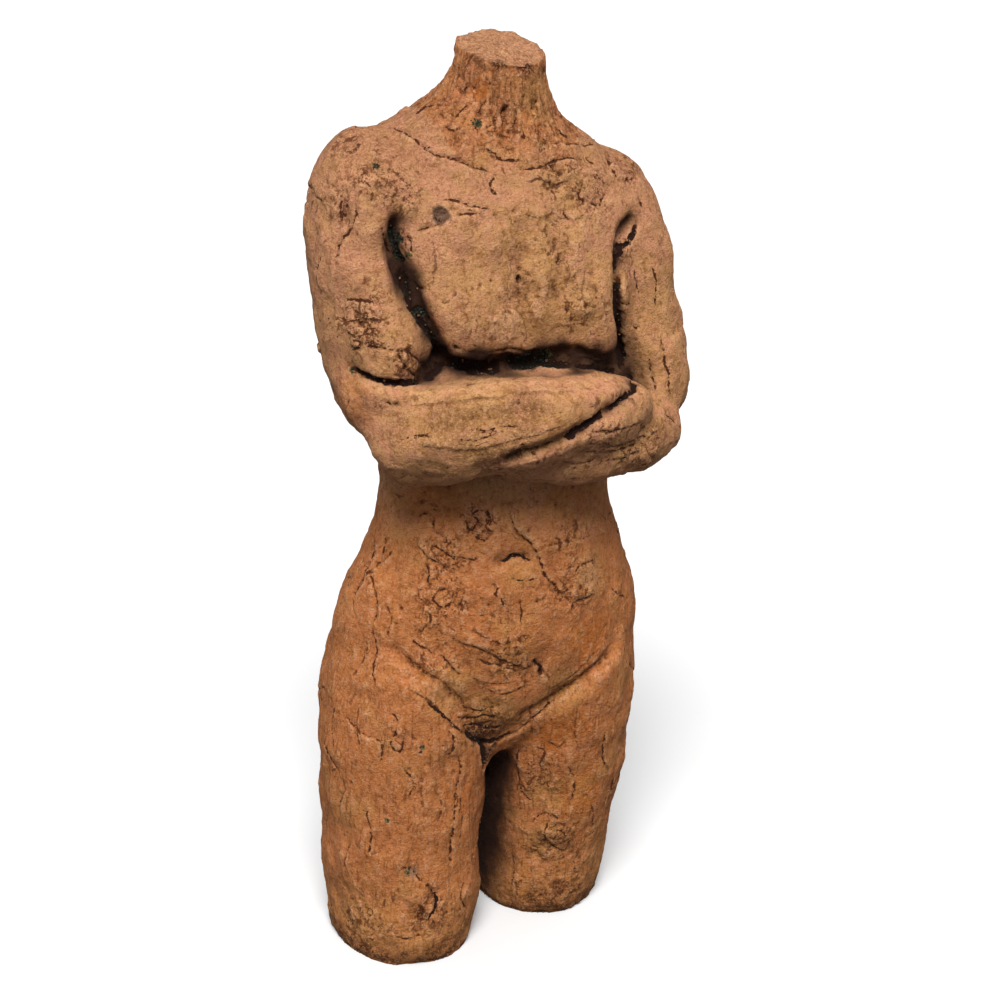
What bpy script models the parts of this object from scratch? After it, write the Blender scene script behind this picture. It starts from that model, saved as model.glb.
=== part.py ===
"""Terracotta torso of a standing woman with folded arms, cut off at the neck and at mid thigh.

The front looks along -Y, +Z is up, and the origin is on the ground under the middle of the figure.
The forms are lofted one by one, melted into one skin, carved, and cut flat at the legs and the neck.
Lengths of the body are in percent of the figure's height, so its pose and proportions go with it.
"""

import math
from dataclasses import dataclass

import bmesh
import bpy
import numpy as np
from mathutils import Matrix, Vector, noise
from mathutils.bvhtree import BVHTree
from mathutils.kdtree import KDTree

HEIGHT = 0.75
PERCENT = HEIGHT / 100

RING_POINTS = 20
SKIN_VOXEL = 0.5 * PERCENT
SKIN_FACES = 7000
MELT_STEPS = 22

CLAY_COLOUR = (0.42, 0.19, 0.10, 1.0)
CLAY_ROUGHNESS = 0.9


@dataclass(frozen=True)
class Slice:
    """A level cross-section of the trunk or a thigh, in percent of the height."""

    height: float
    x: float
    y: float
    half_width: float
    front: float
    back: float
    lean: float = 0.0
    boxiness: float = 2.0
    turn: float = 0.0


@dataclass(frozen=True)
class Station:
    """A cross-section of an arm: its middle, its upright half and its half seen from above."""

    x: float
    y: float
    height: float
    tall: float
    deep: float


@dataclass(frozen=True)
class Lump:
    """A rounded mass: its middle and its three half sizes."""

    x: float
    y: float
    height: float
    half_x: float
    half_y: float
    half_z: float


@dataclass(frozen=True)
class Stroke:
    """A groove drawn on the front or the back, or a ridge where its depth is negative."""

    path: tuple
    half_width: float
    depth: float
    from_back: bool = False


TRUNK = (
    Slice(21.5, -0.8, 0.6, 3.0, 6.4, 6.0),
    Slice(25.0, -0.7, 0.6, 9.0, 9.2, 9.2),
    Slice(29.0, -0.4, 0.6, 14.5, 10.4, 11.0),
    Slice(33.5, -0.1, 0.5, 18.4, 11.2, 11.8),
    Slice(38.5, 0.2, 0.4, 17.6, 11.6, 10.8),
    Slice(43.5, 0.2, 0.2, 15.8, 11.2, 9.4),
    Slice(48.0, 0.3, 0.0, 13.6, 10.4, 8.4),
    Slice(52.0, 0.1, 0.0, 12.6, 9.8, 8.2),
    Slice(58.0, 0.0, 0.2, 13.0, 10.0, 8.6),
    Slice(65.0, -0.3, 0.4, 14.0, 11.0, 9.4, 2.0, 2.4),
    Slice(73.0, -0.6, 0.6, 14.8, 11.4, 9.8, 5.0, 2.7),
    Slice(80.0, -0.7, 0.8, 15.2, 10.6, 9.8, 7.0, 2.8),
    Slice(85.5, -0.8, 0.8, 15.2, 8.8, 8.8, 8.0, 2.6),
    Slice(89.8, -0.8, 0.8, 12.4, 6.4, 7.4, 7.0, 2.3),
    Slice(92.6, -1.2, 0.6, 6.8, 5.0, 5.8, 5.0),
    Slice(95.5, -1.1, 0.2, 4.9, 4.4, 4.8, 3.0),
    Slice(99.0, -1.0, -0.2, 4.6, 4.2, 4.4),
    Slice(105.0, -0.8, -0.8, 4.6, 4.1, 4.3),
)
RIGHT_THIGH = (
    Slice(-5.0, -10.0, -2.8, 7.0, 7.8, 8.0, 0.0, 2.2, 14.0),
    Slice(0.0, -10.0, -2.8, 7.4, 8.4, 8.6, 0.0, 2.2, 14.0),
    Slice(2.5, -9.9, -2.6, 8.0, 9.0, 9.1, 0.0, 2.3, 14.0),
    Slice(10.0, -9.8, -2.0, 8.5, 9.3, 9.4, 0.0, 2.2, 10.0),
    Slice(17.0, -9.7, -1.2, 9.0, 9.7, 9.8, 0.0, 2.1, 6.0),
    Slice(24.0, -9.4, -0.5, 9.7, 10.2, 10.6),
    Slice(31.0, -8.7, 0.0, 9.9, 10.6, 10.8),
    Slice(37.0, -8.2, 0.2, 8.8, 9.8, 9.4),
    Slice(45.0, -6.4, 0.4, 5.6, 6.0, 6.0),
)
LEFT_THIGH = (
    Slice(-5.0, 8.1, 2.4, 6.8, 7.2, 7.4),
    Slice(0.0, 8.3, 2.4, 7.4, 7.9, 8.0),
    Slice(2.5, 8.4, 2.3, 7.8, 8.4, 8.5),
    Slice(10.0, 8.5, 1.8, 8.1, 8.8, 9.0),
    Slice(17.0, 8.6, 1.2, 8.4, 9.4, 9.8),
    Slice(24.0, 8.8, 0.8, 8.9, 10.1, 10.5),
    Slice(31.0, 8.4, 0.6, 9.5, 10.6, 10.6),
    Slice(37.0, 8.0, 0.4, 8.8, 9.8, 9.2),
    Slice(45.0, 6.4, 0.4, 5.6, 6.0, 6.0),
)
RIGHT_UPPER_ARM = (
    Station(-11.6, 0.6, 90.2, 4.2, 5.0),
    Station(-14.9, 0.4, 86.3, 5.9, 7.0),
    Station(-15.9, 0.0, 79.0, 5.4, 7.0),
    Station(-15.1, -2.3, 72.0, 5.2, 7.0),
    Station(-13.9, -5.2, 66.0, 5.2, 6.4),
    Station(-13.5, -6.8, 61.2, 4.6, 5.0),
)
RIGHT_FOREARM = (
    Station(-15.3, -6.6, 60.1, 4.4, 4.2),
    Station(-12.4, -9.4, 61.8, 5.6, 5.0),
    Station(-6.0, -13.0, 63.8, 5.2, 4.8),
    Station(0.0, -14.2, 64.2, 4.8, 4.4),
    Station(7.0, -13.0, 64.0, 4.1, 3.8),
    Station(12.8, -10.2, 63.8, 3.0, 3.2),
)
LEFT_UPPER_ARM = (
    Station(8.8, 0.8, 87.2, 4.4, 5.4),
    Station(11.9, 0.8, 82.2, 5.4, 6.8),
    Station(13.9, 0.0, 75.4, 5.1, 6.6),
    Station(15.3, -1.8, 67.5, 4.7, 6.0),
    Station(16.1, -4.0, 62.8, 4.6, 5.4),
    Station(15.6, -6.0, 60.4, 4.2, 4.8),
)
LEFT_FOREARM = (
    Station(17.0, -5.2, 60.6, 3.9, 4.0),
    Station(14.0, -8.0, 60.0, 4.1, 4.6),
    Station(7.5, -10.8, 59.8, 4.1, 4.4),
    Station(0.0, -11.8, 60.2, 3.8, 4.0),
    Station(-6.0, -10.8, 61.0, 3.2, 3.4),
)
LUMPS = (
    Lump(-8.4, 4.2, 29.5, 8.8, 8.0, 9.4),
    Lump(8.2, 4.6, 30.0, 8.6, 7.8, 9.2),
    Lump(-6.4, -3.4, 74.0, 7.8, 7.6, 9.4),
    Lump(5.4, -3.4, 73.0, 7.6, 7.6, 9.2),
    Lump(-10.4, 0.2, 84.6, 8.0, 7.2, 6.0),
    Lump(8.2, 0.2, 82.4, 7.6, 7.2, 6.0),
)
RIGHT_ARM_CREASE = Stroke(((-13.8, 83.4), (-14.0, 81.2), (-13.0, 77.6), (-11.6, 74.4), (-9.6, 69.8)), 1.4, 1.5)
LEFT_ARM_CREASE = Stroke(((11.8, 82.0), (10.2, 79.6), (9.8, 75.0), (10.8, 70.6), (11.2, 67.6)), 1.3, 1.4)
CHEST_EDGE = Stroke(((-9.6, 70.0), (-6.7, 69.3), (-0.5, 69.4), (3.1, 69.6), (10.2, 67.6)), 1.2, 1.5)
BETWEEN_FOREARMS = Stroke(((10.4, 67.2), (5.2, 65.4), (2.6, 64.2), (-0.6, 63.0), (-4.7, 61.6)), 1.1, 1.0)
ELBOW_FOLD = Stroke(((-18.6, 68.8), (-16.6, 68.2), (-14.3, 68.4), (-11.4, 68.6), (-9.4, 69.4)), 1.1, 0.9)
FOREARM_RIDGE = Stroke(((-17.0, 66.3), (-12.5, 66.8), (-8.2, 67.2), (-2.4, 67.6), (5.5, 67.0)), 1.6, -0.4)
SHOULDER_CRACK = Stroke(((-19.2, 80.4), (-18.2, 82.0), (-18.8, 85.8)), 0.9, 0.4)
RIGHT_COLLARBONE = Stroke(((-12.9, 91.0), (-11.4, 90.2), (-8.9, 89.4), (-6.6, 88.7), (-3.4, 87.7)), 0.9, 0.4)
LEFT_COLLARBONE = Stroke(((-4.8, 90.0), (-1.7, 88.7), (0.2, 88.1), (3.7, 88.4), (7.4, 88.2)), 0.9, 0.35)
BREASTBONE_RIGHT = Stroke(((-6.2, 83.0), (-6.6, 77.0), (-6.4, 71.5)), 1.3, 0.3)
BREASTBONE_LEFT = Stroke(((-1.5, 82.5), (-1.2, 77.0), (-1.4, 71.2)), 1.2, 0.3)
NAVEL = Stroke(((-2.8, 47.4), (-0.8, 47.5), (0.9, 47.7)), 0.9, 0.7)
RIGHT_GROIN = Stroke(((-13.0, 37.0), (-10.3, 33.8), (-7.4, 30.8), (-4.9, 27.8), (-2.8, 25.4)), 1.5, 0.6)
LEFT_GROIN = Stroke(((12.4, 35.0), (8.9, 32.2), (5.2, 29.8), (1.6, 27.0), (-1.6, 25.2)), 1.5, 0.6)
SPINE = Stroke(((0.2, 88.0), (-0.2, 78.0), (0.0, 66.0), (0.2, 54.0), (0.0, 42.0)), 2.4, 0.9, True)
SEAT_CLEFT = Stroke(((0.0, 37.5), (0.0, 31.0), (-0.3, 25.0)), 1.6, 1.6, True)
RIGHT_SEAT_FOLD = Stroke(((-14.2, 22.8), (-9.2, 21.0), (-2.6, 22.6)), 1.8, 0.5, True)
LEFT_SEAT_FOLD = Stroke(((13.8, 23.2), (8.8, 21.6), (2.2, 22.8)), 1.8, 0.5, True)
RIGHT_BACK_CREASE = Stroke(((-12.4, 85.0), (-12.0, 77.0), (-12.4, 68.0)), 1.3, 0.8, True)
LEFT_BACK_CREASE = Stroke(((10.6, 82.0), (10.8, 74.0), (12.0, 65.0)), 1.3, 0.8, True)
RIGHT_BLADE = Stroke(((-9.6, 84.0), (-5.0, 79.0), (-6.4, 73.4)), 2.0, -0.5, True)
LEFT_BLADE = Stroke(((8.2, 82.0), (4.4, 77.4), (5.6, 72.0)), 2.0, -0.5, True)
STROKES = (
    RIGHT_ARM_CREASE, LEFT_ARM_CREASE, CHEST_EDGE, BETWEEN_FOREARMS, ELBOW_FOLD, FOREARM_RIDGE,
    SHOULDER_CRACK, RIGHT_COLLARBONE, LEFT_COLLARBONE, BREASTBONE_RIGHT, BREASTBONE_LEFT, NAVEL,
    RIGHT_GROIN, LEFT_GROIN, SPINE, SEAT_CLEFT, RIGHT_SEAT_FOLD, LEFT_SEAT_FOLD,
    RIGHT_BACK_CREASE, LEFT_BACK_CREASE, RIGHT_BLADE, LEFT_BLADE,
)
STROKE_STEP = 0.4
LUMP_LENGTH = 5.0
LUMP_DEPTH = 0.35
NECK_CUT = 98.9
NECK_CUT_FORWARD = 14.0
NECK_CUT_SIDEWAYS = 4.0


def clear_scene():
    """Removes whatever the file opened with."""
    for obj in list(bpy.data.objects):
        bpy.data.objects.remove(obj, do_unlink=True)


def slice_ring(cut):
    """The points round one level slice, from the figure's left side by its back."""
    ring = []
    for k in range(RING_POINTS):
        angle = 2 * math.pi * k / RING_POINTS
        across, along = math.cos(angle), math.sin(angle)
        power = 2 / cut.boxiness
        x = cut.half_width * math.copysign(abs(across) ** power, across)
        depth = cut.back if along > 0 else cut.front
        y = depth * math.copysign(abs(along) ** power, along)
        rise = -x * math.tan(math.radians(cut.lean))
        offset = Matrix.Rotation(math.radians(cut.turn), 3, "Z") @ Vector((x, y, rise))
        ring.append((Vector((cut.x, cut.y, cut.height)) + offset) * PERCENT)
    return ring


def limb_rings(stations):
    """The points round each station of an arm, square to the arm's own run."""
    middles = [Vector((s.x, s.y, s.height)) for s in stations]
    rings = []
    for k, station in enumerate(stations):
        ahead = middles[min(k + 1, len(middles) - 1)]
        behind = middles[max(k - 1, 0)]
        run = (ahead - behind).normalized()
        upright = abs(run.z) > 0.7
        reference = Vector((1, 0, 0)) if upright else Vector((0, 0, 1))
        tall = (reference - run * reference.dot(run)).normalized()
        deep = run.cross(tall)
        ring = []
        for n in range(RING_POINTS):
            angle = 2 * math.pi * n / RING_POINTS
            offset = tall * station.tall * math.cos(angle) + deep * station.deep * math.sin(angle)
            ring.append((middles[k] + offset) * PERCENT)
        rings.append(ring)
    return rings


def loft(name, rings):
    """A closed form through the rings, smoothed by subdivision."""
    shape = bmesh.new()
    loops = [[shape.verts.new(point) for point in ring] for ring in rings]
    for lower, upper in zip(loops, loops[1:]):
        for k in range(RING_POINTS):
            after = (k + 1) % RING_POINTS
            shape.faces.new((lower[k], lower[after], upper[after], upper[k]))
    shape.faces.new(reversed(loops[0]))
    shape.faces.new(loops[-1])
    bmesh.ops.recalc_face_normals(shape, faces=shape.faces)
    return form_object(name, shape)


def rounded_lump(name, lump):
    """A sphere stretched to the lump's sizes."""
    shape = bmesh.new()
    bmesh.ops.create_uvsphere(shape, u_segments=RING_POINTS, v_segments=12, radius=1)
    place = Matrix.Translation(Vector((lump.x, lump.y, lump.height)) * PERCENT)
    scale = Matrix.Diagonal((lump.half_x * PERCENT, lump.half_y * PERCENT, lump.half_z * PERCENT, 1))
    bmesh.ops.transform(shape, matrix=place @ scale, verts=shape.verts)
    return form_object(name, shape)


def form_object(name, shape):
    """An object of one form, with two levels of subdivision."""
    mesh = bpy.data.meshes.new(name)
    shape.to_mesh(mesh)
    shape.free()
    form = bpy.data.objects.new(name, mesh)
    bpy.context.scene.collection.objects.link(form)
    smooth = form.modifiers.new("Round", "SUBSURF")
    smooth.levels = smooth.render_levels = 2
    return form


def body_forms():
    """Every mass of the figure, as separate closed forms that run into each other."""
    forms = [loft("trunk", [slice_ring(cut) for cut in TRUNK])]
    for name, slices in (("right_thigh", RIGHT_THIGH), ("left_thigh", LEFT_THIGH)):
        forms.append(loft(name, [slice_ring(cut) for cut in slices]))
    arms = (
        ("right_upper_arm", RIGHT_UPPER_ARM),
        ("right_forearm", RIGHT_FOREARM),
        ("left_upper_arm", LEFT_UPPER_ARM),
        ("left_forearm", LEFT_FOREARM),
    )
    for name, stations in arms:
        forms.append(loft(name, limb_rings(stations)))
    for k, lump in enumerate(LUMPS):
        forms.append(rounded_lump(f"lump_{k}", lump))
    return forms


def evaluated_mesh(obj):
    """The object's mesh with its modifiers applied."""
    graph = bpy.context.evaluated_depsgraph_get()
    return bpy.data.meshes.new_from_object(obj.evaluated_get(graph))


def melt(forms):
    """Joins the forms into one object with a single even skin."""
    joined = bmesh.new()
    for form in forms:
        mesh = evaluated_mesh(form)
        joined.from_mesh(mesh)
        bpy.data.objects.remove(form, do_unlink=True)
    mesh = bpy.data.meshes.new("torso")
    joined.to_mesh(mesh)
    joined.free()
    torso = bpy.data.objects.new("torso", mesh)
    bpy.context.scene.collection.objects.link(torso)
    skin = torso.modifiers.new("Skin", "REMESH")
    skin.mode = "VOXEL"
    skin.voxel_size = SKIN_VOXEL
    soften = torso.modifiers.new("Melt", "SMOOTH")
    soften.factor = 0.5
    soften.iterations = MELT_STEPS
    bpy.context.view_layer.update()
    skinned = evaluated_mesh(torso)
    torso.modifiers.clear()
    torso.data = skinned
    skinned.name = "torso"
    return torso


def curve_points(path):
    """Even points along a smooth curve through the path, each as across and height."""
    knots = [Vector(point) for point in path]
    knots = [knots[0] * 2 - knots[1], *knots, knots[-1] * 2 - knots[-2]]
    points = []
    for before, start, end, after in zip(knots, knots[1:], knots[2:], knots[3:]):
        steps = max(1, round((end - start).length / STROKE_STEP))
        for k in range(steps):
            t = k / steps
            straight = start * 2 + (end - before) * t
            bent = (before * 2 - start * 5 + end * 4 - after) * t ** 2
            twisted = (start * 3 - before - end * 3 + after) * t ** 3
            points.append((straight + bent + twisted) / 2)
    points.append(knots[-2])
    return points


def stroke_on_skin(tree, stroke):
    """The points where the stroke, pressed on from the front or the back, touches the skin."""
    towards = -1 if stroke.from_back else 1
    touched = []
    for across, height in curve_points(stroke.path):
        start = Vector((across * PERCENT, -towards * HEIGHT, height * PERCENT))
        point = tree.ray_cast(start, Vector((0, towards, 0)))[0]
        if point is not None:
            touched.append(point)
    return touched


def carve(torso):
    """Cuts the strokes into the skin and gives it the broad lumps of hand-laid clay."""
    mesh = torso.data
    count = len(mesh.vertices)
    points = np.empty(count * 3)
    normals = np.empty(count * 3)
    mesh.vertices.foreach_get("co", points)
    mesh.vertices.foreach_get("normal", normals)
    points = points.reshape(-1, 3)
    normals = normals.reshape(-1, 3)
    tree = BVHTree.FromPolygons([v.co for v in mesh.vertices], [p.vertices for p in mesh.polygons])
    depths = np.zeros(count)
    for stroke in STROKES:
        gaps = np.full(count, HEIGHT)
        for touched in stroke_on_skin(tree, stroke):
            gaps = np.minimum(gaps, np.linalg.norm(points - np.array(touched), axis=1))
        share = np.clip(1 - (gaps / (stroke.half_width * PERCENT)) ** 2, 0, 1)
        depths += stroke.depth * PERCENT * share ** 2
    for k, point in enumerate(points):
        place = Vector(point) / (LUMP_LENGTH * PERCENT)
        depths[k] += noise.fractal(place, 1.0, 2.0, 3) * LUMP_DEPTH * PERCENT
    mesh.vertices.foreach_set("co", (points - normals * depths[:, None]).ravel())
    mesh.update()


def thin_out(torso):
    """Lowers the skin to its final number of triangles, fewest where it is plain."""
    triangles = sum(len(polygon.vertices) - 2 for polygon in torso.data.polygons)
    fewer = torso.modifiers.new("Thin", "DECIMATE")
    fewer.ratio = SKIN_FACES / triangles
    thinned = evaluated_mesh(torso)
    torso.modifiers.clear()
    torso.data = thinned
    thinned.name = "torso"
    thinned.shade_smooth()


def centre(torso):
    """Moves the skin so that its width and depth lie about the origin, and returns the move."""
    corners = [Vector(corner) for corner in torso.bound_box]
    move = -(corners[0] + corners[6]) / 2
    move.z = 0
    torso.data.transform(Matrix.Translation(move))
    return move


def cutting_block(name, matrix):
    """A block whose upper face is the cutting plane, for a Boolean difference."""
    shape = bmesh.new()
    bmesh.ops.create_cube(shape, size=HEIGHT)
    bmesh.ops.translate(shape, vec=(0, 0, -HEIGHT / 2), verts=shape.verts)
    mesh = bpy.data.meshes.new(name)
    shape.to_mesh(mesh)
    shape.free()
    block = bpy.data.objects.new(name, mesh)
    block.matrix_world = matrix
    block.hide_render = True
    block.display_type = "WIRE"
    bpy.context.scene.collection.objects.link(block)
    return block


def cut_flat(torso, move):
    """Cuts the legs off level at the ground and the neck off on its slope."""
    slope = Matrix.Rotation(math.radians(NECK_CUT_FORWARD), 4, "X")
    slope @= Matrix.Rotation(math.radians(NECK_CUT_SIDEWAYS), 4, "Y")
    over = Matrix.Rotation(math.pi, 4, "X")
    neck = min(TRUNK, key=lambda cut: abs(cut.height - NECK_CUT))
    middle = Vector((neck.x, neck.y, NECK_CUT)) * PERCENT + move
    planes = {
        "ground_cutter": Matrix.Identity(4),
        "neck_cutter": Matrix.Translation(middle) @ slope @ over,
    }
    blocks = []
    for name, matrix in planes.items():
        cut = torso.modifiers.new(name, "BOOLEAN")
        cut.operation = "DIFFERENCE"
        cut.solver = "EXACT"
        cut.object = cutting_block(name, matrix)
        blocks.append(cut.object)
    return blocks


def collect(name, objects):
    """Puts the objects in a collection of their own."""
    collection = bpy.data.collections.new(name)
    bpy.context.scene.collection.children.link(collection)
    for obj in objects:
        bpy.context.scene.collection.objects.unlink(obj)
        collection.objects.link(obj)


def clay():
    """The plain fired clay of the torso."""
    material = bpy.data.materials.new("terracotta")
    material.use_nodes = True
    surface = material.node_tree.nodes["Principled BSDF"]
    surface.inputs["Base Color"].default_value = CLAY_COLOUR
    surface.inputs["Roughness"].default_value = CLAY_ROUGHNESS
    material.diffuse_color = CLAY_COLOUR
    return material


def main():
    """Builds the torso."""
    clear_scene()
    torso = melt(body_forms())
    carve(torso)
    thin_out(torso)
    blocks = cut_flat(torso, centre(torso))
    torso.data.materials.append(clay())
    collect("terracotta_torso", [torso])
    collect("cutters", blocks)


main()
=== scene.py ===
"""Looks of the terracotta torso: a hand-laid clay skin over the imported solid, cracked, flaked and mossy.

The skin is the solid's own form, remeshed finely and softened. Creases, cracks and layers of clay are pressed
into it where the photograph shows them, and kept in keeping on the hidden sides. All lengths are in metres.
"""

import itertools
import logging
import math
import time
from dataclasses import dataclass
from enum import Enum

import bmesh
import bpy
import numpy as np
from mathutils import Matrix, Vector
from mathutils.bvhtree import BVHTree
from mathutils.kdtree import KDTree


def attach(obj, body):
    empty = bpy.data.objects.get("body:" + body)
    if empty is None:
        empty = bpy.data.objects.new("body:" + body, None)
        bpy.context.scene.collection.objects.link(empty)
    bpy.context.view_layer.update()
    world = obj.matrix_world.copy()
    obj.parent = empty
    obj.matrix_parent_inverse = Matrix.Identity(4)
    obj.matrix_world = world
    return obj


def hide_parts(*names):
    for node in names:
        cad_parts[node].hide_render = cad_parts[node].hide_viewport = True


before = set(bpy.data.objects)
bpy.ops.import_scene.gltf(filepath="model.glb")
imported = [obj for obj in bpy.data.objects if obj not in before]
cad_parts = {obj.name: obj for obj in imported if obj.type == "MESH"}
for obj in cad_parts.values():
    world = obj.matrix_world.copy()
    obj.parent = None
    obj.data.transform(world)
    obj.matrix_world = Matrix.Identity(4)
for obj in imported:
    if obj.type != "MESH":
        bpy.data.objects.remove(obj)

LOG = logging.getLogger("torso")
MM = 0.001
NECK_END = 0.96  # share of the figure's height above which a level face is the neck's broken end
LEVEL = 0.8  # how far a face's normal points up or down where the face counts as level
Pixels = tuple[tuple[int, ...], ...]
Pit = tuple[int, int, float]  # a pit's pixel across and down, and its radius in millimetres


class Seen(Enum):
    """The side from which a line or a spot is laid on the skin."""

    PHOTO = "through a pixel of the photograph"
    BACK = "from behind"
    RIGHT = "from the figure's right"
    LEFT = "from the figure's left"


class Cut(Enum):
    """What a stroke does to the clay."""

    # A crease's darkness is painted shade in its depth.
    CREASE = "a deep dark crease between two masses"
    CRACK = "a thin dark crack"
    FOLD = "a soft shallow hollow"
    RIDGE = "a soft raised line"


class Stain(Enum):
    """What a patch holds. The value is the name of the mesh attribute that the clay reads."""

    MOSS = "moss"
    # Dirt, and painted shade in creases, pits, hollows and the gaps that the figure closes in.
    DIRT_AND_SHADE = "dirt_and_shade"
    OCHRE = "ochre"
    ORANGE = "orange"
    PINK = "pink"
    GREY = "grey"
    SCALES = "scales"
    PALE = "pale"
    STREAKS = "streaks"
    # Painted shade where the figure closes in on itself.
    PAINTED_SHADE = "painted_shade"


def hashed(cells: np.ndarray, seed: int) -> np.ndarray:
    """Repeatable random whole numbers for whole-number cells.

    Args:
        cells: The cells, one row of three whole numbers each.
        seed: Which of many such sets of numbers to give.

    Returns:
        One whole number under 2 ** 32 for each cell.
    """
    mask = 0xFFFFFFFF
    mixed = cells[:, 0] * 73856093 ^ cells[:, 1] * 19349663 ^ cells[:, 2] * 83492791 ^ seed * 48611
    mixed = (mixed ^ mixed >> 15 & 0x1FFFF) & mask
    mixed = mixed * 1274126177 & mask
    mixed = (mixed ^ mixed >> 13) & mask
    return mixed * 668265263 & mask


def waves(points: np.ndarray, size: float, seed: int, octaves: int = 1) -> np.ndarray:
    """Smooth noise of one feature size, with finer octaves laid over it.

    Args:
        points: Where to read it, one row of three lengths each.
        size: The size of the largest features.
        seed: Which noise to read.
        octaves: How many sizes, each half the one before.

    Returns:
        A value from about -1 to 1 for each point.
    """
    total = np.zeros(len(points))
    for octave in range(octaves):
        scaled = points / size * 2 ** octave + 17.3 * octave
        cell = np.floor(scaled).astype(np.int64)
        inside = scaled - cell
        ease = inside ** 3 * (inside * (inside * 6 - 15) + 10)
        for corner in itertools.product((0, 1), repeat=3):
            bits = hashed(cell + corner, seed + 101 * octave)
            slope = np.stack([bits & 1023, bits >> 10 & 1023, bits >> 20 & 1023], axis=1) / 511.5 - 1
            weight = np.prod(np.where(corner, ease, 1 - ease), axis=1)
            total += weight * (slope * (inside - corner)).sum(axis=1) * 1.5 / 2 ** octave
    return total


def step(value: np.ndarray, low: float, high: float | np.ndarray) -> np.ndarray:
    """A smooth step from 0 at low to 1 at high. Low may be the higher number."""
    share = np.clip((value - low) / (high - low), 0, 1)
    return share * share * (3 - 2 * share)


@dataclass(frozen=True)
class PhotoView:
    """Where the photograph was taken from, and how its pixels fan out from there."""

    width_px: int = 994
    height_px: int = 995
    focal_px: float = 2260.0
    sensor_mm: float = 36.0
    bearing: float = math.radians(-21.0)
    roll: float = math.radians(2.5)
    distance: float = 1.70
    eye_height: float = 1.06
    foot_x: float = 0.0017
    foot_y: float = 0.0226
    aim_aside: float = 0.005
    aim_height: float = 0.377

    def eye(self) -> Vector:
        """The place of the lens."""
        across = math.sin(self.bearing) * self.distance
        along = -math.cos(self.bearing) * self.distance
        return Vector((self.foot_x + across, self.foot_y + along, self.eye_height))

    def axes(self) -> tuple[Vector, Vector, Vector]:
        """The view's right, up and forward directions."""
        aim = Vector((self.foot_x + self.aim_aside, self.foot_y, self.aim_height))
        forward = (aim - self.eye()).normalized()
        level = forward.cross(Vector((0, 0, 1))).normalized()
        upright = level.cross(forward)
        right = level * math.cos(self.roll) + upright * math.sin(self.roll)
        up = upright * math.cos(self.roll) - level * math.sin(self.roll)
        return right, up, forward

    def ray(self, pixel: tuple[float, float]) -> Vector:
        """The direction from the lens through a pixel of the photograph."""
        right, up, forward = self.axes()
        aside = (pixel[0] - self.width_px / 2) / self.focal_px
        above = (self.height_px / 2 - pixel[1]) / self.focal_px
        return (forward + right * aside + up * above).normalized()

    def make_camera(self) -> None:
        """Stands the camera at the photograph's place, and makes it the scene's."""
        right, up, forward = self.axes()
        data = bpy.data.cameras.new("photo_camera")
        data.lens = self.focal_px / self.height_px * self.sensor_mm
        data.sensor_width = self.sensor_mm
        camera = bpy.data.objects.new("photo_camera", data)
        turn = Matrix((right, up, -forward)).transposed().to_4x4()
        camera.matrix_world = Matrix.Translation(self.eye()) @ turn
        bpy.context.scene.collection.objects.link(camera)
        bpy.context.scene.camera = camera


@dataclass(frozen=True)
class Stroke:
    """A line pressed into the clay or raised from it.

    The path is in pixels of the photograph, or for the other sides in metres across and up. A lift raises the
    clay on the left of the path, or on its right where the lift is negative, and dies away over the reach.
    """

    cut: Cut
    path: tuple[tuple[float, ...], ...]
    half_width: float
    depth: float
    lift: float = 0.0
    reach: float = 11 * MM
    dark: float = 0.7
    moss: float = 0.0
    wander: float = 1.1 * MM
    seen: Seen = Seen.PHOTO


@dataclass(frozen=True)
class Patch:
    """A stained or scaly spot, by the photograph's pixel at its middle."""

    stain: Stain
    pixel: tuple[float, float]
    radius: float
    strength: float
    rise: float


def spots(stain: Stain, *places: tuple[float, ...]) -> tuple[Patch, ...]:
    """Patches of one stain.

    Args:
        stain: What the patches hold.
        places: For each, its pixel across and down, its radius in millimetres, its strength from 0 to 1, and its
            rise in millimetres if it is raised.

    Returns:
        The patches.
    """
    return tuple(Patch(stain, (across, down), radius * MM, strength, sum(rise) * MM)
                 for across, down, radius, strength, *rise in places)


def pixels(path: str) -> Pixels:
    """The pixels that a path such as "455,118 463,108" runs through."""
    return tuple(tuple(int(part) for part in pixel.split(",")) for pixel in path.split())


def crease(path: str, half_width: float, depth: float, moss: float = 0.0, lift: float = 0.0) -> Stroke:
    """A deep crease along pixels of the photograph, dark with painted shade in its depth. Its sizes are in
    millimetres.
    """
    return Stroke(Cut.CREASE, pixels(path), half_width * MM, depth * MM, lift * MM, 14 * MM, 1.0, moss, 1.4 * MM)


def crack(path: str, depth: float, half_width: float = 2.1, lift: float = 0.0,
          reach: float = 11.0, dark: float = 0.75) -> Stroke:
    """A thin dark crack along pixels of the photograph. Its sizes are in millimetres."""
    return Stroke(Cut.CRACK, pixels(path), half_width * MM, depth * MM, lift * MM, reach * MM, dark)


def ledge(path: str, lift: float, reach: float, dark: float = 0.5) -> Stroke:
    """The edge of a layer of clay along pixels of the photograph. Its sizes are in millimetres."""
    return Stroke(Cut.CRACK, pixels(path), 2.4 * MM, 0.5 * MM, lift * MM, reach * MM, dark)


def fold(path: str, half_width: float, depth: float) -> Stroke:
    """A soft hollow along pixels of the photograph. Its sizes are in millimetres."""
    return Stroke(Cut.FOLD, pixels(path), half_width * MM, depth * MM, dark=0.0, wander=0.6 * MM)


def ridge(path: str, half_width: float, height: float) -> Stroke:
    """A soft raised line along pixels of the photograph. Its sizes are in millimetres."""
    return Stroke(Cut.RIDGE, pixels(path), half_width * MM, height * MM, dark=0.0, wander=0.6 * MM)


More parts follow.
